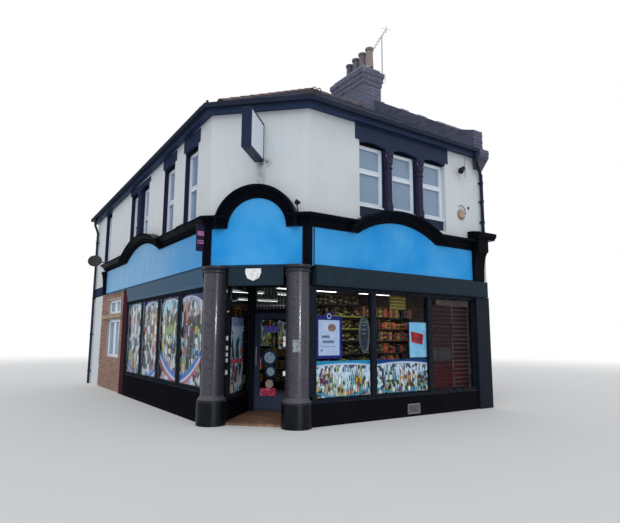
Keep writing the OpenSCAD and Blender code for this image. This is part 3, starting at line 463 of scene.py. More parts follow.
def gloss_paint(name, colour, roughness, dirt, shine, dust=0.5):
    """Gloss paint on timber or metal: brush marks, dull patches, streaks and settled dust. On the side
    street's face the gloss has weathered away."""
    f = Finish(name, roughness, Specular_IOR_Level=shine)
    base = f.mottled(colour, 0.25, 0.3)
    base = f.streaked(base, mix_of(colour, (128, 126, 118), 0.4), dirt, 0.03, 0.4)
    base = f.dusted(base, mix_of(colour, (108, 106, 98), 0.55), dust)
    worn = f.span(f.part(f.facing, 0), -0.8, -0.4, 1, 0)
    dull = f.span(f.grain(5, 5), 0.35, 0.75, roughness, roughness + 0.18)
    f.give(base, f.plus(f.grain(12, 4), f.grain(160, 2)), 0.1, 0.003, f.sum("MAXIMUM", worn, dull))


def sign_board(name, colour, faded, fade, dirt, shade=None):
    """A bare sign face: sun-faded patches, rain marks and a soft sheen. Where shade is given, the fading
    grows from its first place along the wall to its second."""
    f = Finish(name, 0.36, Specular_IOR_Level=0.08)
    patch = f.span(f.noise(f.plane, 0.8, 3), 0.3, 0.7, 0, fade)
    if shade:
        grown = f.span(f.along, shade[1], shade[0], fade, 0)
        patch = f.sum("MULTIPLY_ADD", patch, 0.3, grown, clamp=True)
    base = f.streaked(f.blend(patch, colour, faded), mix_of(faded, (96, 112, 122), 0.55), dirt, 0.02, 0.7)
    base = f.blend(f.patch(34, 5, 0.6, 0.78, dirt * 0.7, 0.75), base, (70, 92, 108))
    f.give(base, f.grain(2.5, 2), 0.06, 0.006)


def shutter_paint(colour, painted_light_colour):
    """Dull paint on folded steel: the canted side street boxes are painted paler than those on the front, as
    painted light on their lit faces.
    """
    f = Finish("shutter_paint", 0.45, Specular_IOR_Level=0.06)
    # Painted light: the faces of the side street boxes that face the side street take the paler colour.
    side = f.times(f.span(f.part(f.facing, 0), -0.9, -0.75, 1, 0),
                   f.span(f.part(f.place, 0), -2.7, -2.6, 1, 0))
    base = f.mottled(f.blend(side, colour, painted_light_colour), 0.25, 0.2)
    base = f.streaked(base, (84, 92, 100), 0.2, 0.03, 0.4)
    f.give(f.dusted(base, (96, 98, 98), 0.3), f.grain(12, 4), 0.1, 0.003)


def polished_granite():
    """Polished dark granite: crossed speckles of two sizes under a clear polish, painted shade on the sides
    that face the entrance, and a pale ring of painted highlight over a plinth that is painted black."""
    f = Finish("granite", 0.3, Specular_IOR_Level=0.12, Coat_Weight=0.1, Coat_Roughness=0.1)
    coarse, fine = [f.put("TexVoronoi", {"Vector": f.place, "Scale": scale}).outputs["Color"]
                    for scale in (150, 380)]
    base = f.ramp(f.plus(f.times(coarse, 0.65), f.times(fine, 0.35)),
                  [(0.2, (26, 28, 36)), (0.45, (56, 57, 68)), (0.62, (84, 84, 98)), (0.8, (116, 108, 114))])
    # The dark and pale upright streaks over the whole height are painted reflection of the street in the
    # polish.
    base = f.streaked(f.mottled(base, 0.3, 0.35), (34, 30, 34), 0.7, 0.09, 3)
    base = f.streaked(base, (122, 112, 106), 0.35, 0.03, 2.5)
    # Painted shade: the sides of the columns that face the entrance are darkened, where the lobby's shade
    # falls.
    across, spot = [f.vector("DOT_PRODUCT", v, (0.7071, -0.7071, 0), out=1) for v in (f.facing, f.place)]
    painted_shade_side = f.times(across, f.span(spot, 1.717, 1.719, 1, -1))
    base = f.blend(f.span(painted_shade_side, -0.1, 0.8, 0, 0.75), base, (34, 32, 40))
    # Painted highlight: a pale ring over the plinth, where light catches its top edge.
    ring = f.times(f.span(f.height, 0.415, 0.425), f.span(f.height, 0.505, 0.515, 1, 0), 0.6)
    base = f.blend(ring, base, (82, 82, 90))
    base = f.blend(f.span(f.height, 2.68, 2.7, 0, 0.7), base, (36, 38, 46))
    base = f.blend(f.span(f.height, 0.41, 0.42, 1, 0), base, (8, 13, 21))
    f.give(base, rough=f.span(f.grain(6, 4), 0.35, 0.7, 0.27, 0.4))


def white_plastic(name, colour, dirt):
    """White window plastic with a grey film and dirt in the corners."""
    f = Finish(name, 0.34)
    base = f.streaked(f.mottled(colour, 0.4, 0.08), (150, 150, 142), dirt, 0.04, 0.5)
    f.give(f.dusted(base, (128, 124, 112), 0.6), f.grain(30, 2), 0.04, 0.002)


def clear_glass(name, colour, transmission, roughness, bend=1.45):
    """Window glass, with a faint film of dust."""
    f = Finish(name, roughness, Transmission_Weight=transmission, IOR=bend)
    f.give(f.mottled(colour, 0.5, 0.1), f.grain(1.2, 1), 0.03, 0.01,
           f.span(f.grain(9, 4), 0.5, 0.8, roughness, roughness + 0.08))


def roof_slate(name, tones, laid=True):
    """Weathered slates: a tone for each slate, lichen, moss and rain marks."""
    f = Finish(name, 0.78)
    tone = f.tone() if laid else f.grain(4, 2)
    value = f.plus(f.times(tone, 0.75), f.times(f.grain(9, 5), 0.3))
    base = f.ramp(value, list(zip((0.1, 0.45, 0.7, 0.95), tones)))
    base = f.blend(f.patch(26, 5, 0.6, 0.7, 0.5, 0.7), base, (128, 122, 104))
    moss = f.times(f.patch(3.2, 5, 0.55, 0.72), f.patch(40, 3, 0.4, 0.6), 0.6)
    f.give(f.blend(moss, base, (72, 70, 48)), f.plus(f.grain(18, 5), f.grain(120, 3)), 0.4, 0.004)


CLAY_STEPS = (0.3, 0.55, 0.75)


def fired_clay(name, *tones):
    """Fired clay with soot, pale salts and pits."""
    f = Finish(name, 0.8)
    base = f.streaked(f.ramp(f.grain(5, 5), list(zip(CLAY_STEPS, tones))), (48, 42, 40), 0.7, 0.04, 0.4)
    f.give(f.blend(f.patch(30, 5, 0.62, 0.75, 0.5), base, (150, 142, 128)), f.grain(70, 4), 0.35, 0.004)


def chimney_clay():
    """The chimney pots: grey, then mauve brown clay, and buff for the one nearest the street."""
    f = Finish("pot_clay", 0.8)
    patches = f.grain(5, 5)
    grey, mauve, buff = [f.ramp(patches, list(zip(CLAY_STEPS, tones))) for tones in (
        ((58, 62, 72), (84, 86, 98), (112, 112, 120)), ((90, 80, 96), (116, 102, 118), (138, 124, 134)),
        ((116, 106, 104), (144, 134, 130), (166, 158, 152)))]
    deep = f.part(f.place, 1)
    base = f.blend(f.span(deep, -1.54, -1.53, 1, 0), grey, mauve)
    base = f.streaked(f.blend(f.span(deep, -1.87, -1.86, 1, 0), base, buff), (40, 36, 38), 0.8, 0.04, 0.4)
    f.give(f.blend(f.span(f.height, 10.1, 10.45, 0, 0.35), base, (48, 42, 42)), f.grain(70, 4), 0.35, 0.004)


def bare_metal(name, colour, roughness, metallic=0.9):
    """Dull metal with fine drawn marks and spots of rust."""
    f = Finish(name, roughness, Metallic=metallic)
    rust = f.patch(60, 5, 0.62, 0.72, 0.6, 0.7)
    f.give(f.blend(rust, f.mottled(colour, 0.05, 0.3), (96, 66, 46)),
           rough=f.span(f.grain(40, 3), 0.3, 0.7, roughness, roughness + 0.2))


def floor_tiles(name, first, second, size, joint, roughness):
    """Square tiles: a tone for each tile, darker joints and trodden dirt."""
    f = Finish(name, roughness)
    courses = f.group("courses", Plane=f.place, Length=size, Height=size, Joint=0.004)
    base = f.mottled(f.ramp(courses["Tone"], [(0, first), (1, second)]), 0.3, 0.4)
    base = f.blend(courses["Joints"], base, joint)
    f.give(f.blend(f.patch(2.5, 5, 0.45, 0.75, 0.5), base, joint), courses["Joints"], -0.4, 0.003)


def plain_plaster(name, colour):
    """Old painted plaster: soft patches, fine cracks of tone and a slight grain."""
    f = Finish(name, 0.85)
    dirt = mix_of(colour, (0.05, 0.05, 0.05, 1), 0.5)
    f.give(f.streaked(f.mottled(colour, 0.5, 0.18), dirt, 0.4, 0.2, 0.6), f.grain(50, 4), 0.15, 0.004)


def lit_tube():
    """A strip light: a lit diffuser that faces down, in a dull grey housing."""
    f = Finish("light_white", 0.4, Emission_Strength=4)
    glow = f.ramp(f.grain(3, 1), [(0.3, (235, 238, 232)), (0.7, (255, 255, 250))])
    glow = f.blend(f.span(f.part(f.facing, 2), -0.7, -0.5), glow, (70, 74, 76))
    f.give(glow)
    f.feed(f.shader.inputs["Emission Color"], glow)


# The colours that print, packs and their labels are picked from
PRINT = [(222, 214, 200), (176, 26, 30), (226, 158, 24), (24, 92, 46), (248, 246, 242), (16, 50, 120),
         (216, 92, 22), (118, 26, 84), (255, 252, 248), (38, 26, 26), (90, 160, 204), (196, 186, 40)]
DARK = [(92, 52, 34), (30, 44, 30), (150, 92, 36), (60, 30, 26), (196, 150, 60), (36, 34, 40),
        (120, 40, 34), (64, 76, 44), (206, 190, 150), (84, 60, 44), (40, 52, 74), (170, 120, 58)]
AMBER = [(186, 178, 56), (150, 118, 36), (214, 206, 160), (96, 84, 70), (168, 150, 60), (120, 60, 40),
         (206, 196, 92), (60, 60, 56), (190, 140, 60), (130, 130, 110), (150, 160, 70), (80, 60, 50)]
SHADE = [(36, 34, 34), (52, 42, 30), (26, 30, 28), (62, 38, 30), (34, 34, 42), (70, 58, 36), (28, 26, 26),
         (44, 50, 34), (56, 34, 40), (30, 34, 38), (80, 66, 40), (38, 30, 26)]
SWEET = [(140, 44, 54), (178, 116, 40), (58, 78, 40), (116, 62, 92), (168, 140, 52), (34, 52, 60),
         (176, 78, 44), (46, 40, 44), (84, 96, 48), (150, 84, 96), (56, 44, 34), (38, 44, 50)]


def picked(f, value, colours, shift=0):
    """One of a list of colours for each value from 0 to 1, started a few places on."""
    shift %= len(colours)
    moved = colours[shift:] + colours[:shift]
    return f.ramp(value, [(n / len(moved), colour) for n, colour in enumerate(moved)], steps=True)


def packed_goods(name, colours, labels, edge):
    """Packs and bottles on shelves: a colour for each from its tone, with a label band whose share of the
    height is what is left over the edge."""
    f = Finish(name, 0.35, Specular_IOR_Level=0.15)
    tone = f.tone()
    band = f.sum("FRACT", f.plus(f.times(f.height, 11), f.times(tone, 9)))
    label = picked(f, f.sum("FRACT", f.times(tone, 37)), labels)
    base = f.blend(f.times(f.sum("GREATER_THAN", band, edge), 0.9), picked(f, tone, colours), label)
    f.give(f.mottled(base, 0.03, 0.4))


def window_film(name, zones, cell, band, arch, rows, sweeps, shift):
    """A printed film: zones of colour up its height, broken into upright dark and pale pieces of the cell's
    width and height, rows of bottles, an arched band across the top and curved sweeps. arch is the middle
    along the wall, the height there and how fast it falls; a sweep is its middle, height, slope, thickness
    and colour."""
    f = Finish(name, 0.5, Specular_IOR_Level=0.03)
    foot, head = zones[0][0], zones[-1][0]
    drift = f.sum("MULTIPLY_ADD", f.noise(f.plane, 3, 3), 0.5, f.minus(f.height, 0.25))
    stops = [((z - foot) / (head - foot), colour) for z, colour in zones]
    base = f.ramp(f.span(drift, foot, head, smooth=False), stops)
    base = f.blend(0.14, base, (190, 220, 246))
    spot = f.join(f.sum("DIVIDE", f.along, cell[0]), f.sum("DIVIDE", f.height, cell[1]))
    pieces = f.put("TexVoronoi", {"Vector": spot, "Scale": 1}).outputs["Color"]
    pick, other = f.put("SeparateColor", {0: pieces}).outputs[:2]
    base = f.blend(f.times(f.sum("LESS_THAN", pick, 0.33), 0.9), base, (12, 20, 34))
    base = f.blend(f.times(f.sum("GREATER_THAN", pick, 0.72), 0.85), base, (212, 226, 246))
    near = f.span(f.sum("ABSOLUTE", f.minus(pick, 0.55)), 0.06, 0.07, 0.6, 0)
    base = f.blend(near, base, picked(f, other, PRINT, shift))
    for number, (low, tall, pitch, seed) in enumerate(rows):
        row = f.group("bottle row", Along=f.along, Height=f.height, Foot=low, Tall=tall, Pitch=pitch,
                      Seed=seed)
        body = picked(f, row["Pick"], PRINT, shift + 3 * number)
        label = picked(f, f.sum("FRACT", f.times(row["Pick"], 17)), PRINT, shift + 7)
        body = f.blend(f.times(row["Label"], 0.85), f.blend(0.45, body, base), label)
        some = f.sum("GREATER_THAN", f.sum("FRACT", f.times(row["Pick"], 5)), 0.4)
        lit = f.shaded(body, f.span(row["Round"], 0.2, 0.9, 0.3, 1))
        base = f.blend(f.times(row["Mask"], some), base, lit)
    for middle, height, slope, thick, colour in sweeps:
        away = f.minus(f.along, middle)
        line = f.plus(f.plus(height, f.times(away, slope)), f.times(away, away, 0.3))
        gap = f.sum("ABSOLUTE", f.minus(f.height, line))
        base = f.blend(f.span(gap, thick * 0.85, thick, 0.9, 0), base, colour)
    middle, height, bend = arch
    away = f.minus(f.along, middle)
    over = f.minus(f.height, f.minus(height, f.times(away, away, bend)))
    base = f.blend(f.span(over, -0.03, -0.02), base, (190, 204, 224))
    f.give(f.mottled(f.blend(f.span(over, 0, 0.01), base, band), 0.02, 0.25))


def plain_label(name, colour, second, size=0.06):
    """A small printed sheet or plain surface: one colour with soft blots of another."""
    f = Finish(name, 0.4, Specular_IOR_Level=0.1)
    blot = f.patch(1 / size, 2, 0.45, 0.6, 0.75)
    f.give(f.mottled(f.blend(blot, colour, second), 0.03, 0.1))


# The plain labels: name, colour, the colour of its blots and, where it isn't 6 cm, the size of a blot
LABELS = [
    ("white_tabs", (236, 238, 240), (206, 210, 216)),
    ("black_plastic", (24, 25, 28), (40, 42, 46), 0.02),
    ("gutter_moss", (104, 112, 116), (56, 64, 70), 0.12),
    ("ochre_ledge", (150, 126, 92), (116, 96, 76), 0.2),
    ("front_blinds", (112, 128, 140), (96, 110, 122), 0.5),
    ("side_blinds", (48, 58, 66), (72, 84, 92), 0.5),
    ("sign_joint", (70, 128, 176), (104, 156, 196), 0.2),
    ("paper_poster", (176, 192, 226), (196, 206, 230), 0.2),
    ("blue_card", (26, 30, 116), (34, 44, 132)),
    ("amber_blot", (150, 120, 104), (110, 90, 96), 0.04),
    ("slate_bar", (110, 122, 158), (90, 100, 140), 0.05),
    ("blue_poster", (120, 186, 226), (150, 200, 230), 0.3),
    ("red_card", (176, 26, 34), (150, 20, 30), 0.1),
    ("rose_card", (104, 18, 26), (170, 60, 60)),
    ("grey_rim", (128, 146, 158), (90, 106, 120), 0.05),
    ("oval_field", (38, 50, 64), (28, 34, 44), 0.1),
    ("brown_rack", (110, 94, 52), (80, 66, 46), 0.08),
    ("yellow_line", (168, 158, 58), (130, 116, 50), 0.05),
    ("pale_slats", (98, 82, 80), (62, 50, 50), 0.2),
    ("dim_box", (84, 72, 72), (62, 54, 56), 0.2),
    ("dark_red_back", (46, 18, 22), (28, 18, 22), 0.3),
    ("grey_band", (62, 58, 62), (36, 34, 38), 0.12),
    ("deep_red", (66, 6, 16), (40, 6, 14), 0.3),
    ("yellow_strip", (170, 168, 60), (70, 66, 40), 0.03),
    ("lavender_poster", (120, 136, 206), (150, 190, 214), 0.25),
    ("rose_band", (196, 70, 90), (220, 120, 130), 0.08),
    ("dark_blue_sticker", (30, 52, 96), (24, 40, 76), 0.05),
    ("pale_sticker", (186, 210, 230), (80, 112, 160), 0.035),
    ("cream_sticker", (196, 186, 176), (150, 130, 130), 0.03),
    ("red_sheet", (206, 54, 92), (226, 150, 170), 0.05),
    ("pink_label", (200, 110, 120), (230, 200, 200), 0.04),
    ("violet_sign", (70, 90, 190), (150, 110, 190), 0.05),
    ("grey_sticker", (150, 158, 168), (60, 66, 78), 0.03),
    ("painted_cable", (150, 158, 166), (120, 128, 140)),
    ("plate_face", (190, 168, 160), (134, 92, 72), 0.03),
    ("plum_plate", (26, 22, 56), (30, 34, 74), 0.2),
    ("rose_bands", (186, 76, 128), (100, 150, 196), 0.03),
]

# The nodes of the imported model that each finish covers
COATS = {
    "cream_render": "front_wall corner_wall flank_wall rear_wall flank_pier",
    "panel_joint": "brick_panel", "party_brick": "party_wall", "stack_joint": "chimney_stack",
    "pot_clay": "chimney_pots", "eaves_paint": "eaves_boards", "granite": "left_column right_column",
    "riser_paint": "stall_risers", "black_paint": "shopfront_cornice end_consoles",
    "navy_paint": "shopfront_beam window_surrounds", "door_paint": "entrance_door",
    "shopfront_paint": "shopfront_piers front_shop_frame flank_shop_frame lobby_side_frames door_posts "
                       "entrance_transom",
    "shutter_paint": "shutter_boxes", "blue_board": "front_sign corner_sign", "faded_board": "flank_sign",
    "sign_white": "projecting_sign",
    "white_frame": "front_window_frames flank_window_frames rear_window_frames",
    "window_glass": "shop_glass door_glass", "upper_window_glass": "upper_glass",
    "slate_bed": "main_roof rear_roof", "gutter_black": "rainwater_goods", "lobby_tile": "lobby_floor",
    "shop_tile": "shop_floor", "ceiling_white": "upper_floor", "aerial_metal": "aerial",
    "dish_grey": "satellite_dish", "handle_steel": "door_handle", "light_white": "ceiling_lights",
}


def make_finishes(looks):
    """Every finish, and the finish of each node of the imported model."""
    stains = [((0.1, 4.78), (0.22, 0.22, 0.13), 0.95), ((0.05, 4.5), (0.14, 0.14, 0.42), 0.4)]
    cream_render(tuple(looks.wall), [(place("corner", along, 0, z).tolist(), reach, amount)
                                     for (along, z), reach, amount in stains])
    brickwork("plain_brick_laid", (96, 70, 64), (146, 110, 94), (160, 150, 144))
    brickwork("dark_brick_laid", (52, 54, 74), (92, 94, 118), (150, 156, 172))
    brickwork("party_brick", (84, 66, 62), (122, 98, 88), (132, 124, 118), False, 4.9)
    polished_granite()
    chimney_clay()
    fired_clay("ridge_clay", (54, 48, 58), (82, 66, 70), (116, 90, 86))
    # The second colour is the painted light on the side street shutter boxes.
    shutter_paint((30, 46, 57), (52, 84, 110))
    sign_board("blue_board", tuple(looks.sign), (96, 184, 238), 0.5, 0.16)
    sign_board("faded_board", (24, 138, 206), (112, 168, 212), 0.75, 0.7, (4.3, 0.6))
    white_plastic("sign_white", (216, 226, 238), 0.2)
    white_plastic("white_frame", (214, 225, 238), 0.3)
    clear_glass("window_glass", (244, 248, 248), 1, 0.01, 1.08)
    clear_glass("upper_window_glass", (146, 172, 198), 0.3, 0.06)
    roof_slate("slate", [(44, 52, 72), (58, 66, 88), (72, 78, 96), (98, 98, 106)])
    roof_slate("slate_bed", [(38, 40, 50), (54, 54, 66), (66, 62, 72), (84, 78, 82)], False)
    floor_tiles("lobby_tile", (104, 74, 54), (134, 98, 72), 0.15, (70, 56, 46), 0.6)
    floor_tiles("shop_tile", (150, 146, 138), (170, 166, 158), 0.3, (104, 100, 94), 0.5)
    lit_tube()
    packed_goods("goods_amber", SHADE, AMBER, 0.72)
    packed_goods("goods_bright", SWEET, SWEET[4:] + SWEET[:4], 0.6)
    packed_goods("goods_dark", DARK, AMBER, 0.6)
    for name, colour in (("stack_joint", (140, 148, 164)), ("panel_joint", (158, 150, 142)),
                         ("ceiling_white", (176, 180, 180)), ("stack_mortar", (96, 88, 84))):
        plain_plaster(name, colour)
    for row in (("aerial_metal", (146, 152, 162), 0.4), ("dish_grey", (27, 30, 36), 0.6, 0.1),
                ("handle_steel", (176, 180, 184), 0.25), ("rusty_plate", (146, 124, 104), 0.7, 0.3)):
        bare_metal(*row)
    # The gloss paints: colour, roughness, dirt, shine and dust
    for row in (("black_paint", tuple(looks.trim), 0.2, 0.04, 0.02, 0.03),
                ("navy_paint", tuple(looks.joinery), 0.3, 0.25, 0.1),
                ("eaves_paint", (38, 52, 82), 0.3, 0.2, 0.1, 0.3),
                ("window_post_paint", (38, 36, 62), 0.16, 0.08, 0.12, 0.2),
                ("riser_paint", (14, 14, 20), 0.45, 0.1, 0.02, 0.15),
                ("shopfront_paint", (18, 25, 37), 0.22, 0.12, 0.08, 0.3),
                ("door_paint", (60, 68, 92), 0.3, 0.2, 0.1),
                ("maroon_paint", (60, 16, 32), 0.25, 0.15, 0.1),
                ("gutter_black", (32, 40, 58), 0.3, 0.3, 0.06),
                ("shelf_metal", (44, 42, 40), 0.4, 0.1, 0.1),
                ("kick_plate", (66, 76, 104), 0.4, 0.5, 0.15)):
        gloss_paint(*row)
    for row in LABELS:
        plain_label(*row)
    for finish, names in COATS.items():
        for name in names.split():
            NODES[name].data.materials.clear()
            NODES[name].data.materials.append(FINISH[finish])


def roof_slopes(names, least_area=0.3):
    """The flat slopes of the nodes named: triangles that face up, sorted by the plane they lie in."""
    slopes = []
    for name in names:
        mesh = NODES[name].data
        planes = {}
        for face in mesh.polygons:
            n = face.normal
            if 0.3 < n.z < 0.99:
                key = (round(n.x, 1), round(n.y, 1), round(n.dot(face.center) / 0.15))
                planes.setdefault(key, []).append(face)
        for faces in planes.values():
            if sum(f.area for f in faces) >= least_area:
                normal = sum((f.normal * f.area for f in faces), Vector()).normalized()
                points = np.array([mesh.vertices[v].co for f in faces for v in f.vertices])
                slopes.append(Slope(normal, points))
    return slopes


class Slope:
    """A flat slope: its outline, which is the convex hull of its corners in its own plane, the ways along
    and up it, and how far up its foot is. The lowest long edge of the outline sets the way along."""

    def __init__(self, normal, points):
        self.normal = np.array(normal)
        level = np.cross((0, 0, 1), self.normal)
        level /= np.linalg.norm(level)
        rise = np.cross(self.normal, level)
        hull = points[convex_hull_2d([Vector((p @ level, p @ rise)) for p in points])]
        self.outline = hull[np.linalg.norm(hull - np.roll(hull, 1, 0), axis=1) > 0.02]
        following = np.roll(self.outline, -1, 0)
        run = following - self.outline
        lengths = np.linalg.norm(run, axis=1)
        lowest = int(np.argmin(np.where(lengths > 0.4, (following + self.outline)[:, 2], np.inf)))
        along = run[lowest] / lengths[lowest]
        self.along = along if along @ level > 0 else -along
        self.up = np.cross(self.normal, self.along)
        self.foot = self.outline[lowest] @ self.up


def laid_pieces(slope, rng, gauge, width, length, thick, lift, overhang, wander=0.003):
    """Flat pieces laid in courses on a slope. Course n starts n gauges up from the foot, every other
    course moves on by half a piece, each piece tilts from its lifted lower edge down to the slope,
    and the whole is cut to the slope's outline, past its foot by the overhang."""
    u = slope.outline @ slope.along
    v = slope.outline @ slope.up - slope.foot
    courses = np.arange(math.ceil((v.max() + 0.02) / gauge) + 1)
    cells = np.arange(math.floor(u.min() / width) - 1, math.ceil(u.max() / width) + 2)
    course, cell = (m.ravel() for m in np.meshgrid(courses, cells, indexing="ij"))
    count = len(course)
    start = (cell + 0.5 * (course % 2)) * width + rng.uniform(-wander, wander, count)
    low = course * gauge - overhang + rng.uniform(-wander, wander, count) * 1.5
    raised = lift + rng.uniform(0, wander, count)
    joint = 0.004
    across = start[:, None] + np.array([joint, width - joint, width - joint, joint] * 2)
    upward = low[:, None] + np.array([0, 0, length, length] * 2)
    flat = np.stack((raised, raised, 0 * raised + 0.001, 0 * raised + 0.001), -1)
    height = np.concatenate((flat, flat + thick), 1) + rng.uniform(0, 0.0015, count)[:, None]
    base = slope.outline[0] @ slope.normal
    points = (across[..., None] * slope.along + (upward + slope.foot)[..., None] * slope.up
              + (height + base)[..., None] * slope.normal)
    mesh = bpy.data.meshes.new("laid")
    mesh.from_pydata(points.reshape(-1, 3).tolist(), [], block_quads(count).tolist())
    mesh.attributes.new("tone", "FLOAT", "POINT").data.foreach_set(
        "value", np.repeat(rng.uniform(0, 1, count), 8).astype(np.float32))
    shape = bmesh.new()
    shape.from_mesh(mesh)
    bpy.data.meshes.remove(mesh)
    tone = shape.verts.layers.float["tone"]
    middle = slope.outline.mean(0)
    for first, second in zip(slope.outline, np.roll(slope.outline, -1, 0)):
        outward = np.cross(second - first, slope.normal)
        outward /= np.linalg.norm(outward)
        outward *= np.sign(outward @ (first - middle))
        spare = overhang if outward @ slope.up < -0.97 else 0.0
        bmesh.ops.bisect_plane(shape, geom=shape.verts[:] + shape.edges[:] + shape.faces[:],
                               plane_co=first + outward * spare, plane_no=outward, clear_outer=True)
    bmesh.ops.holes_fill(shape, edges=[e for e in shape.edges if e.is_boundary], sides=8)
    shape.verts.index_update()
    part = np.array([p.co for p in shape.verts]), [[[p.index for p in f.verts] for f in shape.faces]]
    tones = np.array([p[tone] for p in shape.verts])
    shape.free()
    return part, tones


def add_laid(name, finish, slopes, slot, seed, **sizes):
    """Lays pieces on several slopes and makes one object of them."""
    rng = np.random.default_rng(seed)
    parts, tones = zip(*[laid_pieces(slope, rng, **sizes) for slope in slopes])
    add_piece(name, finish, parts, tones=np.concatenate(tones))


def shared_edges(slopes):
    """Edges where two slopes meet over an outward fold: the two outline corners that they share, the
    mean of their normals and the angle between it and each of them."""
    found = []
    for n, a in enumerate(slopes):
        for b in slopes[n + 1:]:
            apart = np.linalg.norm(a.outline[:, None] - b.outline[None], axis=2)
            ends = a.outline[np.nonzero(apart < 0.06)[0]]
            if len(ends) < 2 or a.normal @ b.normal > 0.985:
                continue
            reach = np.linalg.norm(ends - ends[0], axis=1)
            fold = a.normal @ (b.outline.mean(0) - a.outline.mean(0))
            if reach.max() > 0.5 and fold < 0:
                up = a.normal + b.normal
                up = up / np.linalg.norm(up)
                first, last = sorted((ends[0], ends[np.argmax(reach)]), key=lambda p: p[2])
                found.append((first, last, up, math.acos(min(1.0, float(a.normal @ up)))))
    return found


def cap_tiles(start, end, up, half_angle, tile):
    """Round-backed tiles along an edge. The section is a roll with two straight wings, and it is
    carried along the edge a tile at a time, a little larger at the end that laps the next."""
    radius, thick, lap = 0.1, 0.014, 0.012
    length = np.linalg.norm(end - start)
    ahead = (end - start) / length
    side = np.cross(ahead, up)
    ends = np.linspace(0, length, max(1, round(length / tile)) + 1)
    across = np.array([-1.55, -0.75, -0.5, -0.22, 0.0, 0.22, 0.5, 0.75, 1.55]) * radius
    roll = 0.42 * radius * np.sqrt(np.clip(1 - (across / (0.75 * radius)) ** 2, 0, 1))
    line = -np.abs(across) * math.tan(half_angle) + 0.016 + roll
    outer = np.stack((across, line + thick), -1)
    section = np.concatenate((outer, np.stack((across, line - 0.004), -1)[::-1]))
    scale = np.array([1.08, 0.96])[:, None, None]
    rise = np.array([lap, 0.0])[:, None, None]
    parts = []
    for stations in zip(ends[:-1] - lap, ends[1:]):
        at = np.array(stations)[:, None, None]
        across_and_up = section[:, :1] * scale * side + (section[:, 1:] + rise) * up
        parts.append(capped(start + at * ahead + across_and_up))
    return parts


def scroll(x, z):
    """An open iron ring on a stem over the front eaves: a circle drawn in by a fifth as it turns."""
    turn = np.linspace(-0.5 * np.pi, 1.3 * np.pi, 28)
    radius = 0.043 * (1 - 0.2 * (turn - turn[0]) / np.ptp(turn))
    stem = place("front", x, 0.12, np.linspace(5.96, z - 0.05, 5))
    return tube(np.concatenate((stem, arc("front", x, z, 0.12, radius, radius, turn))), 0.009, 8)


def brick_rows(face, along0, along1, z0, z1, out, rng, openings=(), length=BRICK, height=COURSE, proud=0.007):
    """Bricks laid on a face in stretcher courses, moved on by half a brick every other course, cut
    round the openings, each a chamfered block standing a little proud of the joints."""
    joint = 0.01
    rows = np.arange(round((z1 - z0) / height))
    cells = np.arange(-1, math.ceil((along1 - along0) / length) + 1)
    row, cell = (m.ravel() for m in np.meshgrid(rows, cells, indexing="ij"))
    a0 = along0 + (cell + 0.5 * (row % 2)) * length
    a1 = a0 + length - joint
    a0, a1 = np.clip(a0, along0, along1), np.clip(a1, along0, along1)
    low = z0 + row * height + joint / 2
    high = low + height - joint
    for left, right, foot, head in openings:
        level = (high > foot) & (low < head)
        a1 = np.where(level & (a0 < left), np.minimum(a1, left), a1)
        a0 = np.where(level & (a0 >= left) & (a1 > left), np.maximum(a0, right), a0)
    keep = a1 - a0 > 0.02
    count = int(keep.sum())
    stand = proud + rng.uniform(-0.0015, 0.0015, count)
    spans = np.stack((a0[keep], a1[keep], np.full(count, out), out + stand, low[keep], high[keep]), -1)
    return blocks(face, spans, 0.003), np.repeat(rng.uniform(0, 1, count), 8)


def add_goods(name, finish, rows, rng):
    """Goods on shelves: widths are drawn at random and added up along each shelf, and each pack is a
    block of its own height with its front edges drawn in. A row is the face, the reach along and out, the
    shelves' heights, the range of widths and the range of heights."""
    parts, tones = [], []
    for face, along0, along1, out0, out1, shelves, (narrow, wide), tall in rows:
        for z in shelves:
            widths = rng.uniform(narrow, wide, int((along1 - along0) / narrow))
            ends = along0 + np.cumsum(widths)
            keep = ends < along1
            ends, widths = ends[keep], widths[keep]
            count = len(ends)
            depth = rng.uniform(0.75, 1.0, count) * (out1 - out0)
            high = z + rng.uniform(*tall, count)
            spans = np.stack((ends - widths + 0.004, ends - 0.004, np.full(count, out0), out0 + depth,
                              np.full(count, z), high), -1)
            parts.append(blocks(face, spans, 0.006))
            tones.append(np.repeat(rng.uniform(0, 1, count), 8))
    add_piece(name, finish, parts, tones=np.concatenate(tones))


def colour_setting(name, what, default):
    """A colour in the panel, with its default as it is seen."""
    return bpy.props.FloatVectorProperty(name=name, description="Colour of the " + what, subtype="COLOR",
                                         size=4, min=0, max=1, default=seen(default))


def length_setting(name, description, default, least, most):
    """A length in the panel."""
    return bpy.props.FloatProperty(name=name, description=description, default=default, min=least, max=most,
                                   subtype="DISTANCE", unit="LENGTH")


class ShopLooks(bpy.types.PropertyGroup):
    """The colours that a user would change"""
    wall: colour_setting("Wall", "painted render", (199, 206, 212))
    sign: colour_setting("Sign", "sign boards", (20, 142, 220))
    trim: colour_setting("Trim", "cornice and consoles", (11, 13, 20))
    joinery: colour_setting("Joinery", "shopfront beam, window surrounds and sign trims", (32, 44, 70))


class ShopSizes(bpy.types.PropertyGroup):
    """The sizes of the laid and repeated pieces that a user would change"""
    slate_gauge: length_setting("Slate gauge", "How much of each slate shows up the slope", 0.2, 0.1, 0.4)
    slate_width: length_setting("Slate width", "Width of a slate", 0.25, 0.15, 0.5)
    ridge_tile: length_setting("Ridge tile", "Length of a ridge or hip tile", 0.42, 0.2, 0.8)
    slat_pitch: length_setting("Slat pitch", "Height from one slat of the right bay to the next", 0.092,
                               0.05, 0.2)


class SHOP_OT_finishes(bpy.types.Operator):
    """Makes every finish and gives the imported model's nodes theirs"""
    bl_idname = "shop.finishes"
    bl_label = "Finishes"

    def execute(self, context):
        make_groups()
        make_finishes(context.scene.shop_looks)
        return {"FINISHED"}


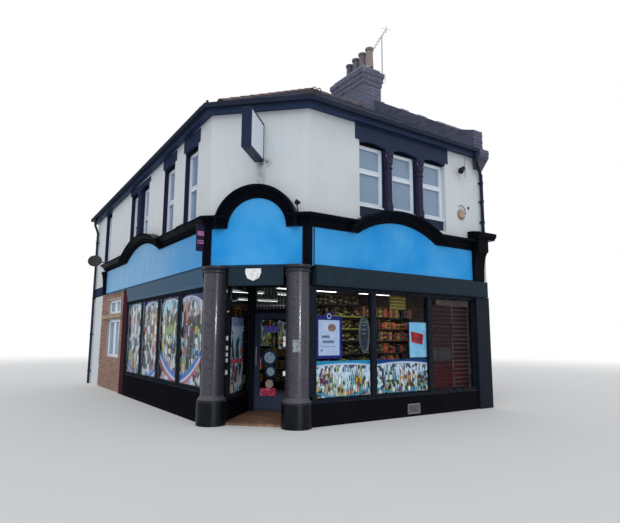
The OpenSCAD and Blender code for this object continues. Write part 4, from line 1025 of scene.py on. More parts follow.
def pale_floor():
    """A pale floor that keeps shadows near the building and fades to white far off."""
    f = Finish("pale_floor", 0.9)
    f.give(f.mottled((204, 206, 208), 0.6, 0.04))
    fade = f.span(f.vector("LENGTH", f.place, out=1), 14, 34)
    plain = f.put("Emission", {"Color": (1, 1, 1, 1), "Strength": 1}).outputs[0]
    camera_ray = f.put("LightPath").outputs["Is Camera Ray"]
    mixed = f.put("MixShader", {0: f.times(fade, camera_ray), 1: f.shader.outputs[0], 2: plain}).outputs[0]
    f.feed(f.tree.nodes["Material Output"].inputs["Surface"], mixed)


class SHOP_OT_stage(bpy.types.Operator):
    """Sets up the pale floor, the soft light and the camera"""
    bl_idname = "shop.stage"
    bl_label = "Stage"

    def execute(self, context):
        scene = context.scene
        lens = bpy.data.cameras.new("street_view")
        lens.sensor_fit = "HORIZONTAL"
        lens.sensor_width = 36
        focal_pixels, picture_width = 509.86, 620
        lens.lens = focal_pixels / picture_width * lens.sensor_width
        lens.clip_end = 400
        camera = bpy.data.objects.new("street_view", lens)
        scene.collection.objects.link(camera)
        yaw, pitch, roll = (math.radians(angle) for angle in (34.13, 8.42, 0.34))
        ahead = Vector((math.sin(yaw) * math.cos(pitch), math.cos(yaw) * math.cos(pitch), math.sin(pitch)))
        camera.location = (-6.896, -13.147, 1.55)
        camera.rotation_mode = "QUATERNION"
        camera.rotation_quaternion = ahead.to_track_quat("-Z", "Y") @ Quaternion((0, 0, 1), roll)
        scene.camera = camera
        scene.view_settings.view_transform = "Standard"

        sun = bpy.data.lights.new("daylight", "SUN")
        sun.energy = 1.0
        sun.angle = math.radians(50)
        lamp = bpy.data.objects.new("daylight", sun)
        lamp.rotation_mode = "QUATERNION"
        lamp.rotation_quaternion = Vector((0.6, 0.62, -0.85)).to_track_quat("-Z", "Y")
        scene.collection.objects.link(lamp)

        # A wide lamp far behind the camera that shows only as highlights on polished and painted surfaces
        glint = bpy.data.lights.new("bright_sky_gap", "AREA")
        glint.shape = "RECTANGLE"
        glint.size, glint.size_y = 3.4, 1.6
        glint.energy = 3800.0
        glint.color = (0.82, 0.92, 1.0)
        gap = bpy.data.objects.new("bright_sky_gap", glint)
        gap.location = (-6.0, -29.7, 2.6)
        gap.rotation_euler = (math.radians(90), 0, 0)
        gap.visible_diffuse = gap.visible_transmission = gap.visible_camera = False
        scene.collection.objects.link(gap)

        # A white sky that lights a little less than it shows
        world = bpy.data.worlds.new("soft_sky")
        world.use_nodes = True
        scene.world = world
        r = Recipe(world.node_tree)
        back = world.node_tree.nodes["Background"]
        rays = r.put("LightPath").outputs
        looked_at = r.sum("MAXIMUM", rays["Is Camera Ray"],
                          r.sum("MAXIMUM", rays["Is Glossy Ray"], rays["Is Transmission Ray"]))
        back.inputs["Color"].default_value = (1, 1, 1, 1)
        r.feed(back.inputs["Strength"], r.span(looked_at, 0, 1, 0.78, 1, smooth=False))

        radii = np.array([6, 10, 16, 24, 40, 90])[:, None]
        turn = turns(64)
        verts, faces = capped(np.stack((radii * np.cos(turn), radii * np.sin(turn), 0 * radii * turn), -1))
        mesh = bpy.data.meshes.new("pale_floor")
        mesh.from_pydata(verts[:-1].tolist(), [], faces[0].tolist() + faces[1].tolist())
        floor = bpy.data.objects.new("pale_floor", mesh)
        scene.collection.objects.link(floor)
        pale_floor()
        mesh.materials.append(FINISH["pale_floor"])
        return {"FINISHED"}


class SHOP_OT_roof(bpy.types.Operator):
    """Lays the slates, the ridge and hip tiles and the parapet's coping, and adds the hip irons and moss"""
    bl_idname = "shop.roof"
    bl_label = "Roof covering"

    def execute(self, context):
        sizes = context.scene.shop_sizes
        slopes = roof_slopes(["main_roof", "rear_roof"])
        add_laid("roof_slates", "slate", slopes, "slate", RNG_SEED, gauge=sizes.slate_gauge,
                 width=sizes.slate_width, length=sizes.slate_gauge + 0.09, thick=0.007, lift=0.013,
                 overhang=0.045)
        edges = shared_edges(slopes)
        if not edges:
            raise RuntimeError("no ridge or hip was found on the roof")
        tiles = [tile for edge in edges for tile in cap_tiles(*edge, sizes.ridge_tile)]
        add_piece("ridge_and_hip_tiles", "ridge_clay", tiles, smooth=True)
        tip = turned([(0.05, 0.0), (0.045, 0.05), (0.022, 0.08), (0.03, 0.1), (0.012, 0.12)],
                     place("side", 1.345, 0.12, 5.97), sides=12)
        add_piece("hip_irons", "black_plastic", [scroll(1.397, 6.151), scroll(1.507, 6.157), tip],
                  smooth=True)
        add_blocks("gutter_moss", "front", "gutter_moss", (1.42, 6.34, 0.202, 0.212, 5.98, 5.99),
                   "gutter_black", 0.003)
        add_laid("parapet_coping", "dark_brick_laid", roof_slopes(["party_wall"], 0.1), "dark_brick", 5,
                 gauge=COURSE, width=0.4, length=0.066, thick=0.02, lift=0.001, overhang=0.0, wander=0.001)
        return {"FINISHED"}


class SHOP_OT_brickwork(bpy.types.Operator):
    """Lays the bricks of the side panel, the stack and the party wall's front end, with the pots' mortar"""
    bl_idname = "shop.brickwork"
    bl_label = "Brickwork"

    def execute(self, context):
        rng = np.random.default_rng(RNG_SEED + 1)
        lights = [(7.45, 8.95, 0.95, 2.02), (7.45, 8.95, 2.2, 2.6)]
        part, tones = brick_rows("side", 7.2, 9.8, 0.03, 2.8, 0.0, rng, lights)
        add_piece("panel_bricks", "plain_brick_laid", [part], tones=tones)
        add_piece("panel_ledge", "ochre_ledge", [blocks("side", (7.2, 9.6, 0.0, 0.05, 2.05, 2.19), 0.012)],
                  bevel=0.004)

        # The stack: how far its brickwork grows out, from one height to another
        courses = [(0, 7.75, 9.1, COURSE)]
        courses += [(0.03 + 0.03 * (n // 2), 9.1 + COURSE * n, 9.1 + COURSE * (n + 1), COURSE)
                    for n in range(6)]
        courses.append((0, 9.55, 9.64, 0.09))
        laid = []
        for grow, foot, head, course in courses:
            x0, x1, y0, y1 = 5.61 - grow, 6.31 + grow, 3.45 - grow, 4.9 + grow
            for face, a0, a1, out, way in (("front", x0, x1, -y0, 1), ("front", x0, x1, -y1, -1),
                                           ("side", y0, y1, -x0, 1), ("side", y0, y1, -x1, -1)):
                laid.append(brick_rows(face, a0, a1, foot, head, out, rng, proud=0.006 * way, height=course))
        parts, tones = zip(*laid)
        add_piece("stack_bricks", "dark_brick_laid", parts, tones=np.concatenate(tones))
        parts, tones = zip(*[brick_rows("front", 6.07, 6.4, z0, z1, out, rng, length=0.16, proud=0.012)
                             for z0, z1, out in ((5.8, 5.985, 0.22), (5.985, 6.5, 0.06))])
        add_piece("parapet_end_bricks", "dark_brick_laid", parts, tones=np.concatenate(tones))

        # The lumpy mortar round the pots
        u, v = np.meshgrid(np.linspace(-1, 1, 25), np.linspace(-1, 1, 41), indexing="ij")
        swell = (1 - np.abs(u) ** 5) * (1 - np.abs(v) ** 7)
        lumps = 0.012 * np.sin(9 * u + 3 * v) * np.sin(13 * v - 4 * u) + 0.008 * np.sin(31 * v + 17 * u)
        top = np.stack((5.96 + 0.352 * u, 4.175 + 0.727 * v, 9.6 + (0.135 + lumps) * swell), -1) - ORIGIN
        add_piece("stack_mortar", "stack_mortar", [(top.reshape(-1, 3), [grid_quads(25, 41)])],
                  smooth=True, closed=False)
        return {"FINISHED"}


FRONT_LIGHTS = [(c - 0.345, c + 0.345, 4.15, 5.47) for c in (2.915, 3.82, 4.725)]
SIDE_LIGHTS = [(c - 0.35, c + 0.35, 3.89, 5.47) for c in (2.375, 3.75, 5.6625, 6.5775, 9.56)]
PANEL_LIGHTS = [(a0, a0 + 0.75, z0, z1) for z0, z1 in ((0.95, 2.02), (2.2, 2.6)) for a0 in (7.45, 8.2)]
POSTS = (3.3675, 4.2725)


class SHOP_OT_windows(bpy.types.Operator):
    """Adds the inner sashes, beads, sills, head boards, jambs, blinds and small columns of the windows"""
    bl_idname = "shop.windows"
    bl_label = "Upper windows"

    def execute(self, context):
        parts, heads = [], []
        for face, lights, rail in (("front", FRONT_LIGHTS, 0.72), ("side", SIDE_LIGHTS, 0.73)):
            frames = [(a0 + 0.045, a1 - 0.045, low, high) for a0, a1, z0, z1 in lights for low, high in (
                (z0 + 0.045, z0 + rail - 0.02), (z0 + rail + 0.02, z1 - 0.105))]
            parts += [rings(face, frames, 0.034, -0.139, -0.1, 0.004),
                      blocks(face, [(a0 + 0.002, a1 - 0.002, -0.125, -0.103, z1 - 0.12, z1 - 0.062)
                                    for a0, a1, _, z1 in lights], 0.004),
                      blocks(face, [(a0, a1, -0.12, -0.055, z0 - 0.028, z0 + 0.014)
                                    for a0, a1, z0, _ in lights], 0.005)]
            heads.append(blocks(face, [(a0 + 0.002, a1 - 0.002, -0.108, -0.06, z1 - 0.066, z1)
                                       for a0, a1, _, z1 in lights], 0.004))
            blinds = [(a0 - 0.02, a1 + 0.02, -0.31, -0.305, z0 + 0.02, z1) for a0, a1, z0, z1 in lights]
            add_blocks(face + "_blinds", face, face + "_blinds", blinds, "white_frame")
        frames = [(a0 + 0.045, a1 - 0.045, z0 + 0.045, z1 - 0.045) for a0, a1, z0, z1 in PANEL_LIGHTS]
        parts.append(rings("side", frames, 0.025, -0.088, -0.052, 0.003))
        add_piece("window_beads", "white_frame", parts, bevel=0.002)
        add_piece("window_head_boards", "black_paint", heads)
        jambs = [(edge - 0.004, edge + 0.004, -0.098, 0.001, z0, z1)
                 for a0, a1, z0, z1 in SIDE_LIGHTS for edge in (a0, a1)]
        jambs += [(a0, a1, -0.05, 0.0015, z0 - 0.002, z0 + 0.004) for a0, a1, z0, _ in SIDE_LIGHTS]
        add_blocks("side_window_jambs", "side", "window_post_paint", jambs, "navy_paint")

        # Columns between the front windows, with a capital of two rows of leaves that curl outwards
        shaft = [(0.107, 0.0), (0.107, 0.062), (0.096, 0.07), (0.1, 0.09), (0.088, 0.1), (0.087, 0.5),
                 (0.0865, 0.83), (0.102, 0.84), (0.104, 0.855), (0.088, 0.87), (0.087, 0.93), (0.103, 0.945),
                 (0.088, 0.965)]
        turn = turns(64)
        tall = 0.215
        z = np.linspace(0, tall, 17)[:, None]
        leaf = np.abs(np.sin(2 * np.pi * z / tall))
        curl = 1 + 0.22 * (0.5 + 0.5 * np.cos(8 * turn + np.pi * (z > tall / 2))) * leaf
        radius = np.minimum((0.089 + 0.026 * (z / tall) ** 1.6) * curl, 0.135)
        parts = [turned(shaft, place("front", x, -0.04, 4.17), sides=32) for x in POSTS]
        parts += [capped(place("front", x + radius * np.cos(turn), -0.04 - radius * np.sin(turn), 5.125 + z))
                  for x in POSTS]
        add_piece("window_columns", "window_post_paint", parts, smooth=True)
        return {"FINISHED"}


BAYS = [(1.56, 2.875), (2.985, 4.435), (4.545, 5.89)]
SIDE_BAYS = [(1.56, 2.77), (2.88, 4.095), (4.205, 5.42), (5.53, 6.74)]


class SHOP_OT_shopfront(bpy.types.Operator):
    """Adds the glazing beads, riser mouldings, side post, render strip, vent, shutter ribs and panels"""
    bl_idname = "shop.shopfront"
    bl_label = "Shopfront"

    def execute(self, context):
        panes = (("front", [(a0, a1, 0.46, 2.41) for a0, a1 in BAYS]),
                 ("side", [(a0, a1, 0.6, 2.41) for a0, a1 in SIDE_BAYS]))
        parts = [rings(face, frames, 0.022, -0.071, -0.035, 0.006) for face, frames in panes]
        parts += [blocks("front", (1.5, 5.95, -0.02, 0.012, 0.385, 0.412), 0.006),
                  blocks("side", (1.5, 6.8, -0.02, 0.012, 0.525, 0.552), 0.006),
                  blocks("front", (1.49, 5.95, -0.02, 0.03, 2.44, 2.468), 0.006)]
        add_piece("glazing_beads", "shopfront_paint", parts, bevel=0.002)
        parts = [blocks("front", (1.5, 5.95, -0.001, 0.014, 0.0, 0.06), 0.006),
                 blocks("side", (1.5, 6.8, -0.001, 0.014, 0.0, 0.07), 0.006)]
        add_piece("riser_mouldings", "riser_paint", parts)
        add_blocks("side_red_post", "side", "maroon_paint", (6.83, 7.19, -0.002, 0.012, 0.0, 2.8),
                   "shopfront_paint", 0.005)
        add_blocks("render_return", "front", "cream_render", (6.07, 6.398, -0.002, 0.004, 2.82, 5.52),
                   "cream_render")
        slats = [(3.775, 4.07, 0.001, 0.014, z, z + 0.012) for z in np.arange(0.07, 0.225, 0.022)]
        parts = [blocks("front", slats, 0.003),
                 rings("front", (3.755, 4.09, 0.05, 0.245), 0.016, -0.001, 0.016, 0.003)]
        add_piece("vent_grille", "handle_steel", parts)
        ribs = [(1.5, 6.28, 0.1, 0.103, z, z + 0.1) for z in (2.5, 2.605, 2.71)]
        ribs.append((1.49, 6.29, 0.1, 0.112, 2.47, 2.488))
        add_blocks("shutter_box_ribs", "front", "shutter_paint", ribs, "shutter_paint", 0.003)
        panels = [(6.0, 6.36, -0.002, 0.012, 0.5, 2.4), (5.96, 6.39, -0.002, 0.025, 0.0, 0.4)]
        parts = [blocks("front", panels, 0.012),
                 rings("front", (6.02, 6.34, 0.56, 2.34), 0.03, 0.008, 0.022, 0.01)]
        add_piece("pilaster_panels", "shopfront_paint", parts)
        return {"FINISHED"}


class SHOP_OT_signs(bpy.types.Operator):
    """Adds the edge trims and panel joints of the bare sign boards and the hanging sign's rim"""
    bl_idname = "shop.signs"
    bl_label = "Signs"

    def execute(self, context):
        ends = {"front": (1.44, 5.84, [1.44]), "corner": (-0.88, 0.88, [-0.88, 0.862]),
                "side": (1.44, 9.17, [])}
        trims = []
        for face, (a0, a1, uprights) in ends.items():
            width = 0.022 if face == "front" else 0.018
            trims.append(blocks(face, [(a0, a1, 0.048, 0.062, 2.822, 2.846)] + [
                (a, a + width, 0.048, 0.06, 2.84, 3.53) for a in uprights], 0.003))
        add_piece("sign_trims", "navy_paint", trims)
        joints = [(y, y + 0.006, 0.0495, 0.0515, 2.85, 3.53) for y in (2.35, 3.3, 4.25, 5.2, 6.15, 7.1, 8.05)]
        joints += [(y, y + 0.004, 0.0495, 0.0512, 2.86, 3.5) for y in (2.9, 3.75, 4.8, 6.6, 7.6, 8.6)]
        add_blocks("side_sign_joints", "side", "sign_joint", joints, "faded_board")
        left, right, foot, head, near, far, width = -0.068, 0.108, 4.8, 5.52, 0.04, 0.84, 0.035
        rim = [blocks("corner", [(s, s + 0.008, *span) for span in (
            (near, near + width, foot, head), (far - width, far, foot, head),
            (near + width, far - width, foot, foot + width),
            (near + width, far - width, head - width, head))], 0.003) for s in (left, right - 0.008)]
        rim.append(blocks("corner", [(left, right, *span) for span in (
            (0.838, 0.846, foot, head), (near, 0.846, 4.79, 4.802), (near, 0.846, 5.518, 5.53))], 0.002))
        add_piece("hanging_sign_rim", "navy_paint", rim)
        return {"FINISHED"}


# For each side street film: its band, the shift of its print, the height and slope of its sweeps, and
# its colours up the height
SIDE_FILMS = [
    ((16, 44, 108), 0, 0.93, 0.55,
     [(0.6, (180, 150, 190)), (0.9, (130, 150, 90)), (1.2, (104, 116, 84)), (1.5, (80, 90, 110)),
      (1.85, (130, 96, 136)), (2.1, (150, 130, 116)), (2.35, (170, 172, 206))]),
    ((20, 52, 90), 3, 0.86, -0.4,
     [(0.6, (150, 160, 190)), (0.8, (190, 80, 104)), (1.1, (30, 116, 130)), (1.25, (150, 136, 60)),
      (1.55, (60, 146, 84)), (1.9, (160, 146, 54)), (2.2, (120, 186, 206))]),
    ((48, 44, 140), 6, 0.62, 0.3,
     [(0.6, (96, 112, 140)), (0.9, (94, 84, 104)), (1.2, (124, 104, 112)), (1.5, (84, 110, 84)),
      (1.75, (130, 92, 80)), (2.0, (104, 110, 100)), (2.3, (160, 160, 196))]),
    ((60, 130, 150), 9, 0.6, -0.3,
     [(0.6, (130, 140, 150)), (1.2, (94, 98, 104)), (1.5, (76, 92, 130)), (1.75, (90, 120, 180)),
      (1.95, (130, 84, 100)), (2.1, (120, 104, 100)), (2.3, (140, 180, 196))]),
]
FRESH = [(0.44, (130, 170, 176)), (0.6, (140, 176, 110)), (0.8, (176, 200, 216)), (1.05, (206, 216, 236))]
WARM = [(1.3, (96, 60, 50)), (1.5, (150, 150, 50)), (1.7, (176, 176, 60)), (1.9, (90, 60, 70))]
COOL = [(0.5, (200, 244, 255)), (0.9, (190, 190, 206)), (1.1, (206, 240, 255)), (1.5, (150, 226, 255)),
        (1.76, (180, 200, 255))]
TEAL = (40, 140, 186)


class SHOP_OT_goods(bpy.types.Operator):
    """Adds the window films, posters, slats, strip lights, shelves and goods behind the glass"""
    bl_idname = "shop.goods"
    bl_label = "Goods and films"

    def execute(self, context):
        for number, ((a0, a1), (band, shift, low, slope, zones)) in enumerate(zip(SIDE_BAYS, SIDE_FILMS)):
            middle = ORIGIN[1] - (a0 + a1) / 2
            rows = [(1.5, 0.8, 0.26, number + 1), (1.12, 0.56, 0.21, number + 2),
                    (0.7, 0.5, 0.17, number + 4)]
            sweeps = [(middle, low - under, slope, thick, colour) for under, thick, colour in (
                (0.14, 0.05, (196, 96, 132)), (0.07, 0.04, (214, 224, 238)), (0, 0.06, (52, 120, 206)))]
            name = "side_film_%d" % (number + 1)
            arch = (middle - 0.2 * (number == 0), 2.36, 0.3)
            window_film(name, zones, (0.1, 0.15), band, arch, rows, sweeps, shift)
            add_blocks(name, "side", name, (a0 - 0.02, a1 + 0.02, *FILM, 0.58, 2.43), "faded_board")
        for number, ((a0, a1), band, shift) in enumerate(zip(BAYS, (TEAL, (16, 60, 120)), (1, 4))):
            middle = (a0 + a1) / 2 - ORIGIN[0]
            rows = [(0.68, 0.36, 0.1, number + 6), (0.45, 0.34, 0.085, number + 8)]
            name = "front_film_%d" % (number + 1)
            window_film(name, FRESH, (0.045, 0.075), band, (middle, 1.07, 0.09), rows,
                        [(middle, 0.47, 0.03, 0.02, TEAL)], shift)
            add_blocks(name, "front", name, (a0 - 0.02, a1 + 0.02, *FILM, 0.44, 1.12), "faded_board")
        self.posters()
        self.right_bay(context.scene.shop_sizes.slat_pitch)
        self.inside()
        return {"FINISHED"}

    def posters(self):
        """The posters and cards behind the front glass."""
        bars = [(1.72, 1.9, PAPER, -0.083, 1.53, 1.58), (1.74, 2.0, PAPER, -0.083, 1.44, 1.49),
                (1.7, 2.02, PAPER, -0.083, 1.375, 1.385), (1.7, 1.74, PAPER, -0.083, 1.29, 1.33)]
        lines = [(3.61, 4.05, -0.3, -0.295, z, z + 0.022) for z in (2.15, 2.21, 2.28, 2.35)]
        for row in (("left_poster", "paper_poster", (1.65, 2.125, PAPER_BACK, PAPER, 1.22, 1.86)),
                    ("left_poster_bars", "slate_bar", bars),
                    ("middle_poster", "blue_poster", (3.93, 4.43, PAPER_BACK, PAPER, 1.15, 1.86)),
                    ("brown_rack", "brown_rack", (3.6, 4.06, -0.31, -0.3, 2.12, 2.43), "shop_tile"),
                    ("brown_rack_lines", "yellow_line", lines, "sign_white", 0.002)):
            add_blocks(row[0], "front", *row[1:])
        add_piece("left_poster_blot", "amber_blot", [disc("front", 1.95, 1.72, PAPER, 0.07, 0.001, 1.3)])
        add_piece("left_poster_edge", "blue_card", [
            rings("front", (1.595, 2.18, 1.165, 1.935), 0.055, PAPER_BACK, -0.083),
            disc("front", 1.885, 1.93, PAPER_BACK, 0.075)])
        badge = arc("front", 1.885, 1.93, -0.083, 0.042, 0.042, np.linspace(0, 2 * np.pi, 25))
        add_piece("left_poster_badge", "paper_poster", [tube(badge, 0.008)])
        tilted = np.array([(3.97, 1.68), (4.34, 1.62), (4.3, 1.4), (3.99, 1.46)])
        inner = tilted.mean(0) + (tilted - tilted.mean(0)) * (0.8, 0.72)
        for name, finish, shape, outs in (("red_card", "red_card", tilted, ([PAPER], [-0.082])),
                                          ("red_card_middle", "rose_card", inner, ([-0.082], [-0.081]))):
            add_piece(name, finish, [capped(place("front", shape[:, 0], outs, shape[:, 1]))])
        turn = np.linspace(0, 2 * np.pi, 41)
        rims = [tube(arc("front", 2.73, 1.6, -0.09, wide, tall, turn), radius)
                for wide, tall, radius in ((0.13, 0.34, 0.005), (0.105, 0.31, 0.003))]
        bars = [(2.69, 2.78, -0.093, -0.088, z, z + 0.014) for z in (1.83, 1.77, 1.69, 1.61)]
        add_piece("oval_outline", "grey_rim", [*rims, blocks("front", bars, 0.002)])
        add_piece("oval_middle", "oval_field", [disc("front", 2.73, 1.6, -0.098, 0.31, 0.002, 0.34),
                                                disc("front", 2.73, 1.44, -0.095, 0.045)])

    def right_bay(self, pitch):
        """The slats and boxes seen in the front's right bay."""
        z = np.arange(0.5, 2.32, pitch)
        slats = [(5.3, 5.93, -0.135, -0.122, s, s + pitch * 0.16) for s in z]
        slats.append((5.28, 5.3, -0.14, -0.12, 0.5, 2.3))
        slats += [(4.56, 5.26, -0.16, -0.15, s, s + pitch * 0.06) for s in z]
        for row in (("slats", "pale_slats", slats, "shutter_paint", 0.003),
                    ("blind_box", "dim_box", (4.77, 5.87, -0.2, -0.11, 2.25, 2.38), "shutter_paint", 0.01),
                    ("back", "dark_red_back", (4.55, 5.93, -0.26, -0.24, 0.46, 2.3), "shop_tile"),
                    ("band", "grey_band", (4.6, 5.3, -0.2, -0.19, 1.06, 1.34), "shutter_paint"),
                    ("red_foot", "deep_red", (4.6, 5.72, -0.22, -0.2, 0.46, 1.02), "shutter_paint", 0.01)):
            add_blocks("right_bay_" + row[0], "front", *row[1:])

    def inside(self):
        """Strip lights hung under the ceiling on thin rods, and shelves with goods."""
        strips = [(1.9, 3.5, -2.04, -1.96, 2.585, 2.615), (4.15, 5.4, -1.98, -1.9, 2.585, 2.615),
                  (4.2, 5.5, -3.75, -3.67, 2.585, 2.615)]
        add_blocks("hung_lights", "front", "light_white", strips, "light_white", 0.008)
        rods = [tube([place("front", x, (a + b) / 2, z) for z in (2.61, 2.7, 2.815)], 0.004, 6)
                for x0, x1, a, b, _, _ in strips for x in (x0 + 0.25, x1 - 0.25)]
        add_piece("light_rods", "handle_steel", rods)

        rng = np.random.default_rng(RNG_SEED + 2)
        near = [1.0, 1.24, 1.48, 1.72, 1.96, 2.18]
        deep = [0.3, 0.65, 1.0, 1.35, 1.7, 2.05]
        add_goods("front_goods_left", "goods_amber",
                  [("front", 1.6, 2.9, -0.62, -0.4, near, (0.03, 0.065), (0.09, 0.2))], rng)
        add_goods("front_goods_middle", "goods_bright",
                  [("front", 2.95, 4.42, -0.62, -0.4, near[:5], (0.05, 0.12), (0.12, 0.21))], rng)
        add_goods("deep_goods", "goods_dark",
                  [("front", 0.6, 6.0, -5.4, -5.1, deep, (0.05, 0.12), (0.2, 0.3)),
                   ("side", 2.4, 10.9, -6.0, -5.75, deep, (0.06, 0.12), (0.2, 0.3))], rng)
        add_blocks("shelf_strips", "front", "yellow_strip",
                   [(2.16, 2.9, -0.362, -0.358, z - 0.024, z + 0.006) for z in (1.96, 1.72)], inset=0.001)
        boards = [(1.58, 4.45, -0.64, -0.36, z - 0.02, z) for z in near]
        boards.append((1.58, 4.45, -0.66, -0.64, 0.5, 2.2))
        add_blocks("front_shelves", "front", "shelf_metal", boards, "shop_tile", 0.002)
        boards = [(0.6, 6.0, -5.44, -5.05, z - 0.02, z) for z in deep]
        boards.append((0.6, 6.0, -5.5, -5.44, 0.05, 2.4))
        side_boards = [(2.4, 10.9, -6.04, -5.7, z - 0.02, z) for z in deep]
        parts = [blocks("front", boards, 0.002), blocks("side", side_boards, 0.002)]
        add_piece("deep_shelves", "shelf_metal", parts)


class SHOP_OT_entrance(bpy.types.Operator):
    """Adds the door's beads, plate and stickers, the lobby's poster and tabs, the shield and the grille"""
    bl_idname = "shop.entrance"
    bl_label = "Entrance"

    def execute(self, context):
        window_film("door_film", WARM, (0.05, 0.08), (40, 34, 44), (0, 2.2, 0.1),
                    [(1.4, 0.28, 0.09, 3), (1.64, 0.26, 0.08, 5)], [], 2)
        window_film("lobby_film", COOL, (0.09, 0.2), (120, 150, 206), (0, 2.4, 0),
                    [(1.2, 0.4, 0.2, 2), (0.66, 0.3, 0.16, 4)], [], 5)
        films = [(-0.366, -0.05, -1.586, -1.584, 1.36, 1.9), (0.02, 0.366, -1.586, -1.584, 1.3, 1.9)]
        tabs = [(2.01, 0.012), (1.52, 0.04), (1.34, 0.04), (1.22, 0.035), (1.115, 0.035), (0.9, 0.04)]
        tabs = [(-0.612, -0.572, -0.2, -0.194, z - half, z + half) for z, half in tabs]
        tabs += [(0.53, 0.58, 0.02, 0.028, z - 0.04, z + 0.04) for z in (1.517, 1.42, 0.915)]
        left, right = (-0.5855, -0.5835), (-1.11, -0.38)
        for row in (
            ("door_film", "door_film", films, "sign_white", 0, DOOR),
            ("door_red_sheet", "red_sheet", (-0.34, -0.01, -1.5545, -1.5525, 0.3, 0.5), "sign_white", 0,
             DOOR),
            ("door_label", "pink_label", (-0.366, -0.33, DOOR_GLASS, DOOR_GLASS + 0.002, 0.88, 1.12),
             "sign_white", 0, DOOR),
            ("door_sign", "violet_sign", (-0.3, 0.02, DOOR_GLASS, DOOR_GLASS + 0.003, 1.64, 1.78),
             "blue_board", 0, DOOR),
            ("kick_plate", "kick_plate", (-0.44, 0.44, -1.556, -1.552, 0.09, 0.35), "shopfront_paint",
             0.003, DOOR),
            ("lobby_poster_head", "lavender_poster", (*left, *right, 1.76, 1.92)),
            ("lobby_poster", "lobby_film", (*left, *right, 0.5, 1.76)),
            ("lobby_poster_band", "rose_band", (-0.5835, -0.5825, *right, 1.04, 1.12)),
            ("post_tabs", "white_tabs", tabs, "sign_white", 0.001),
        ):
            add_blocks(row[0], "corner", *row[1:])
        beads = rings("corner", (-0.37, 0.37, 0.38, 1.935), 0.018, -1.574, -1.562, 0.004)
        add_piece("door_beads", "door_paint", [beads], DOOR, bevel=0.0015)
        for name, finish, slot, out, thick, rounds in (
            ("door_sticker_backs", "dark_blue_sticker", "blue_board", 0, 0.003,
             [(-0.15, 1.12, 0.17), (-0.125, 0.835, 0.125)]),
            ("door_stickers", "pale_sticker", "sign_white", 0.0032, 0.002,
             [(-0.15, 1.12, 0.115), (-0.125, 0.835, 0.085)]),
            ("door_cream_sticker", "cream_sticker", "sign_white", 0, 0.002, [(-0.15, 0.585, 0.085)]),
        ):
            add_piece(name, finish, [disc("corner", along, z, DOOR_GLASS + out, radius, thick)
                                     for along, z, radius in rounds], DOOR)
        # A sticker bent round the right column, and the shield under the corner sign
        turn = np.linspace(-1.75, -1.1, 9)
        around = 0.212 + np.array([0.0, 0.002])[:, None]
        low, high = [place("corner", 0.78 + around * np.cos(turn), -around * np.sin(turn), z)
                     for z in (1.29, 1.5)]
        sheet = np.concatenate((low, high[::-1])).transpose(1, 0, 2)
        add_piece("column_sticker", "grey_sticker", [capped(sheet)])
        shield = np.array([(-0.145, 2.775), (0.145, 2.775), (0.15, 2.7), (0.11, 2.6), (0.0, 2.548),
                           (-0.11, 2.6), (-0.15, 2.7)])
        outs = np.array([0.04, 0.055, 0.06])[:, None]
        shrink = np.array([1.0, 1.0, 0.92])[:, None]
        middle = shield.mean(0)
        along, z = (shield - middle).T
        plate = place("corner", -0.045 + shrink * along, outs, middle[1] + shrink * z)
        add_piece("shield_plate", "white_tabs", [capped(plate)])
        bars = [(s, s + 0.012, -1.52, -1.51, 2.13, 2.58) for s in np.arange(-0.42, 0.43, 0.07)]
        bars.append((-0.45, 0.45, -1.52, -1.508, 2.19, 2.205))
        add_blocks("transom_grille", "corner", "handle_steel", bars, "handle_steel", 0.003)
        return {"FINISHED"}


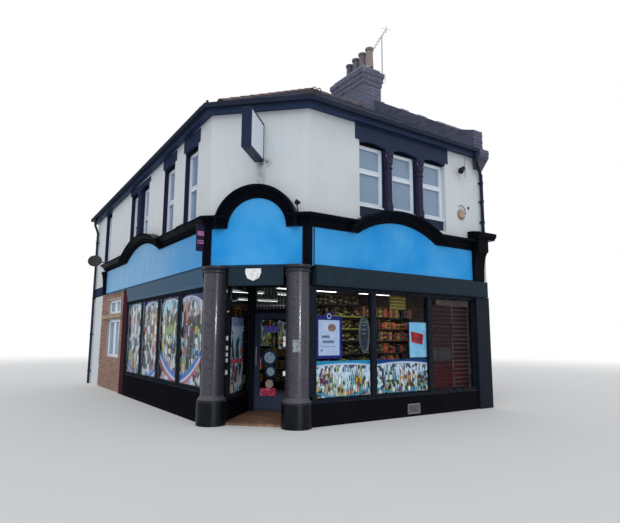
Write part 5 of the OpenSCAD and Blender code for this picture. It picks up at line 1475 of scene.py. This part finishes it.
class SHOP_OT_fittings(bpy.types.Operator):
    """Adds the small fittings: camera, lamps, cable, plates, pipe collars, brackets and the aerial's ties"""
    bl_idname = "shop.fittings"
    bl_label = "Fittings"

    def execute(self, context):
        eye = place("front", 5.51, 0.1, 5.37)
        socket = turned([(0.045, 0), (0.05, 0.01), (0.045, 0.03), (0.02, 0.05)],
                        place("front", 5.72, 0, 5.48), (0, -1, 0))
        arm = tube([place("front", 5.72, 0.03, 5.48), place("front", 5.63, 0.09, 5.43), eye], 0.02)
        hood = turned([(0.03, -0.045), (0.052, -0.035), (0.058, 0.03), (0.066, 0.04), (0.05, 0.075),
                       (0.02, 0.09)], eye, (-0.35, -0.45, -0.8), 20)
        flood = turned([(0.02, -0.04), (0.045, -0.02), (0.055, 0.04), (0.045, 0.05)],
                       place("corner", 0.79, 0.2, 3.93), (0.3, -0.4, 0.6), 20)
        stalk = tube([place("corner", 0.79, 0.1, 3.79), place("corner", 0.79, 0.2, 3.88)], 0.012)
        bar = blocks("side", [(2.28, 2.76, 0.05, 0.15, 3.78, 3.83), (2.33, 2.37, 0.08, 0.12, 3.77, 3.79),
                              (2.67, 2.71, 0.08, 0.12, 3.77, 3.79)], 0.01)
        add_piece("wall_fittings", "black_plastic", [socket, arm, hood, flood, stalk, bar],
                  smooth=True)
        cable = tube([place("front", 5.78, 0.006, z) for z in (5.78, 5.6, 5.4, 5.28)], 0.007)
        add_piece("painted_cable", "painted_cable", [cable], smooth=True)

        dome = [(0.125, 0.0), (0.125, 0.012), (0.11, 0.03), (0.07, 0.038), (0.06, 0.03), (0.02, 0.032)]
        bare = [(0.085, 0.036), (0.078, 0.043), (0.01, 0.043)]
        for name, finish, profile, z, sides in (("round_plate", "rusty_plate", dome, 4.35, 28),
                                                ("plate_face", "plate_face", bare, 4.36, 20)):
            add_piece(name, finish, [turned(profile, place("front", 5.58, 0, z), (0, -1, 0), sides)],
                      smooth=True)
        loop = arc("front", 5.57, 4.4, 0.03, 0.13, 0.16, np.linspace(-0.08 * np.pi, 0.72 * np.pi, 18))
        knob = blocks("front", (5.82, 5.85, 0.0, 0.03, 4.51, 4.57), 0.004)
        add_piece("plate_wire", "black_plastic", [tube(loop, 0.007), knob], smooth=True)

        collars, clips = [], []
        for face, along, heights in (("front", 6.28, (4.25, 4.75, 5.2)),
                                     ("side", 10.9, (0.4, 1.6, 2.8, 4.0, 4.7))):
            collars += [turned([(0.04, -0.03), (0.048, -0.028), (0.048, 0.028), (0.04, 0.03)],
                               place(face, along, 0.063, z)) for z in heights]
            clips.append(blocks(face, [(along - 0.06, along + 0.06, 0.0, 0.06, z - 0.012, z + 0.012)
                                       for z in heights]))
        add_piece("pipe_collars", "gutter_black", collars + clips, smooth=True)
        corners = [(5.6, 3.44), (6.32, 3.44), (6.32, 4.91), (5.6, 4.91), (5.6, 3.44)]
        ties = [tube([np.array((x, y, z + sag * n)) - ORIGIN for n, (x, y) in enumerate(corners)], 0.006, 6)
                for z, sag in ((9.0, 0.01), (8.82, -0.015))]
        lead = [np.array((6.425 - 0.1 * (n > 4), 3.345 + 0.1 * (n > 4) + 0.02 * (n % 2), z)) - ORIGIN
                for n, z in enumerate(np.linspace(9.58, 8.6, 15))]
        add_piece("aerial_ties", "aerial_metal", [*ties, tube(lead, 0.007, 6)], smooth=True)
        bolts = [(x, x + 0.02, 0.209, 0.216, 5.9, 5.97) for x in np.arange(1.5, 6.0, 0.75)]
        add_blocks("gutter_brackets", "front", "gutter_black", bolts, "gutter_black", 0.003)
        add_blocks("side_plate", "side", "plum_plate", (1.34, 1.365, 0.052, 0.235, 3.11, 3.62),
                   "blue_board", 0.003)
        bands = [(1.333, 1.34, 0.075, 0.215, z, z + tall)
                 for z, tall in ((3.25, 0.035), (3.3, 0.02), (3.4, 0.09))]
        add_blocks("side_plate_bands", "side", "rose_bands", bands, inset=0.001)
        return {"FINISHED"}


class SHOP_PT_panel(bpy.types.Panel):
    """Shows the looks, the sizes and the building steps in the sidebar"""
    bl_idname = "SHOP_PT_panel"
    bl_label = "Corner Shop"
    bl_space_type = "VIEW_3D"
    bl_region_type = "UI"
    bl_category = "Corner Shop"

    def draw(self, context):
        scene = context.scene
        for settings in (scene.shop_looks, scene.shop_sizes):
            for name in settings.bl_rna.properties.keys():
                if name not in ("rna_type", "name"):
                    self.layout.prop(settings, name)
        for step in STEPS:
            self.layout.operator(step.bl_idname)


STEPS = (SHOP_OT_finishes, SHOP_OT_stage, SHOP_OT_roof, SHOP_OT_brickwork, SHOP_OT_windows, SHOP_OT_shopfront,
         SHOP_OT_signs, SHOP_OT_goods, SHOP_OT_entrance, SHOP_OT_fittings)
CLASSES = (ShopLooks, ShopSizes, *STEPS, SHOP_PT_panel)


def register():
    for item in CLASSES:
        bpy.utils.register_class(item)
    bpy.types.Scene.shop_looks = bpy.props.PointerProperty(type=ShopLooks)
    bpy.types.Scene.shop_sizes = bpy.props.PointerProperty(type=ShopSizes)


def unregister():
    del bpy.types.Scene.shop_sizes
    del bpy.types.Scene.shop_looks
    for item in reversed(CLASSES):
        bpy.utils.unregister_class(item)


def main():
    register()
    for step in STEPS:
        group, name = step.bl_idname.split(".")
        getattr(getattr(bpy.ops, group), name)()


if __name__ == "__main__":
    main()
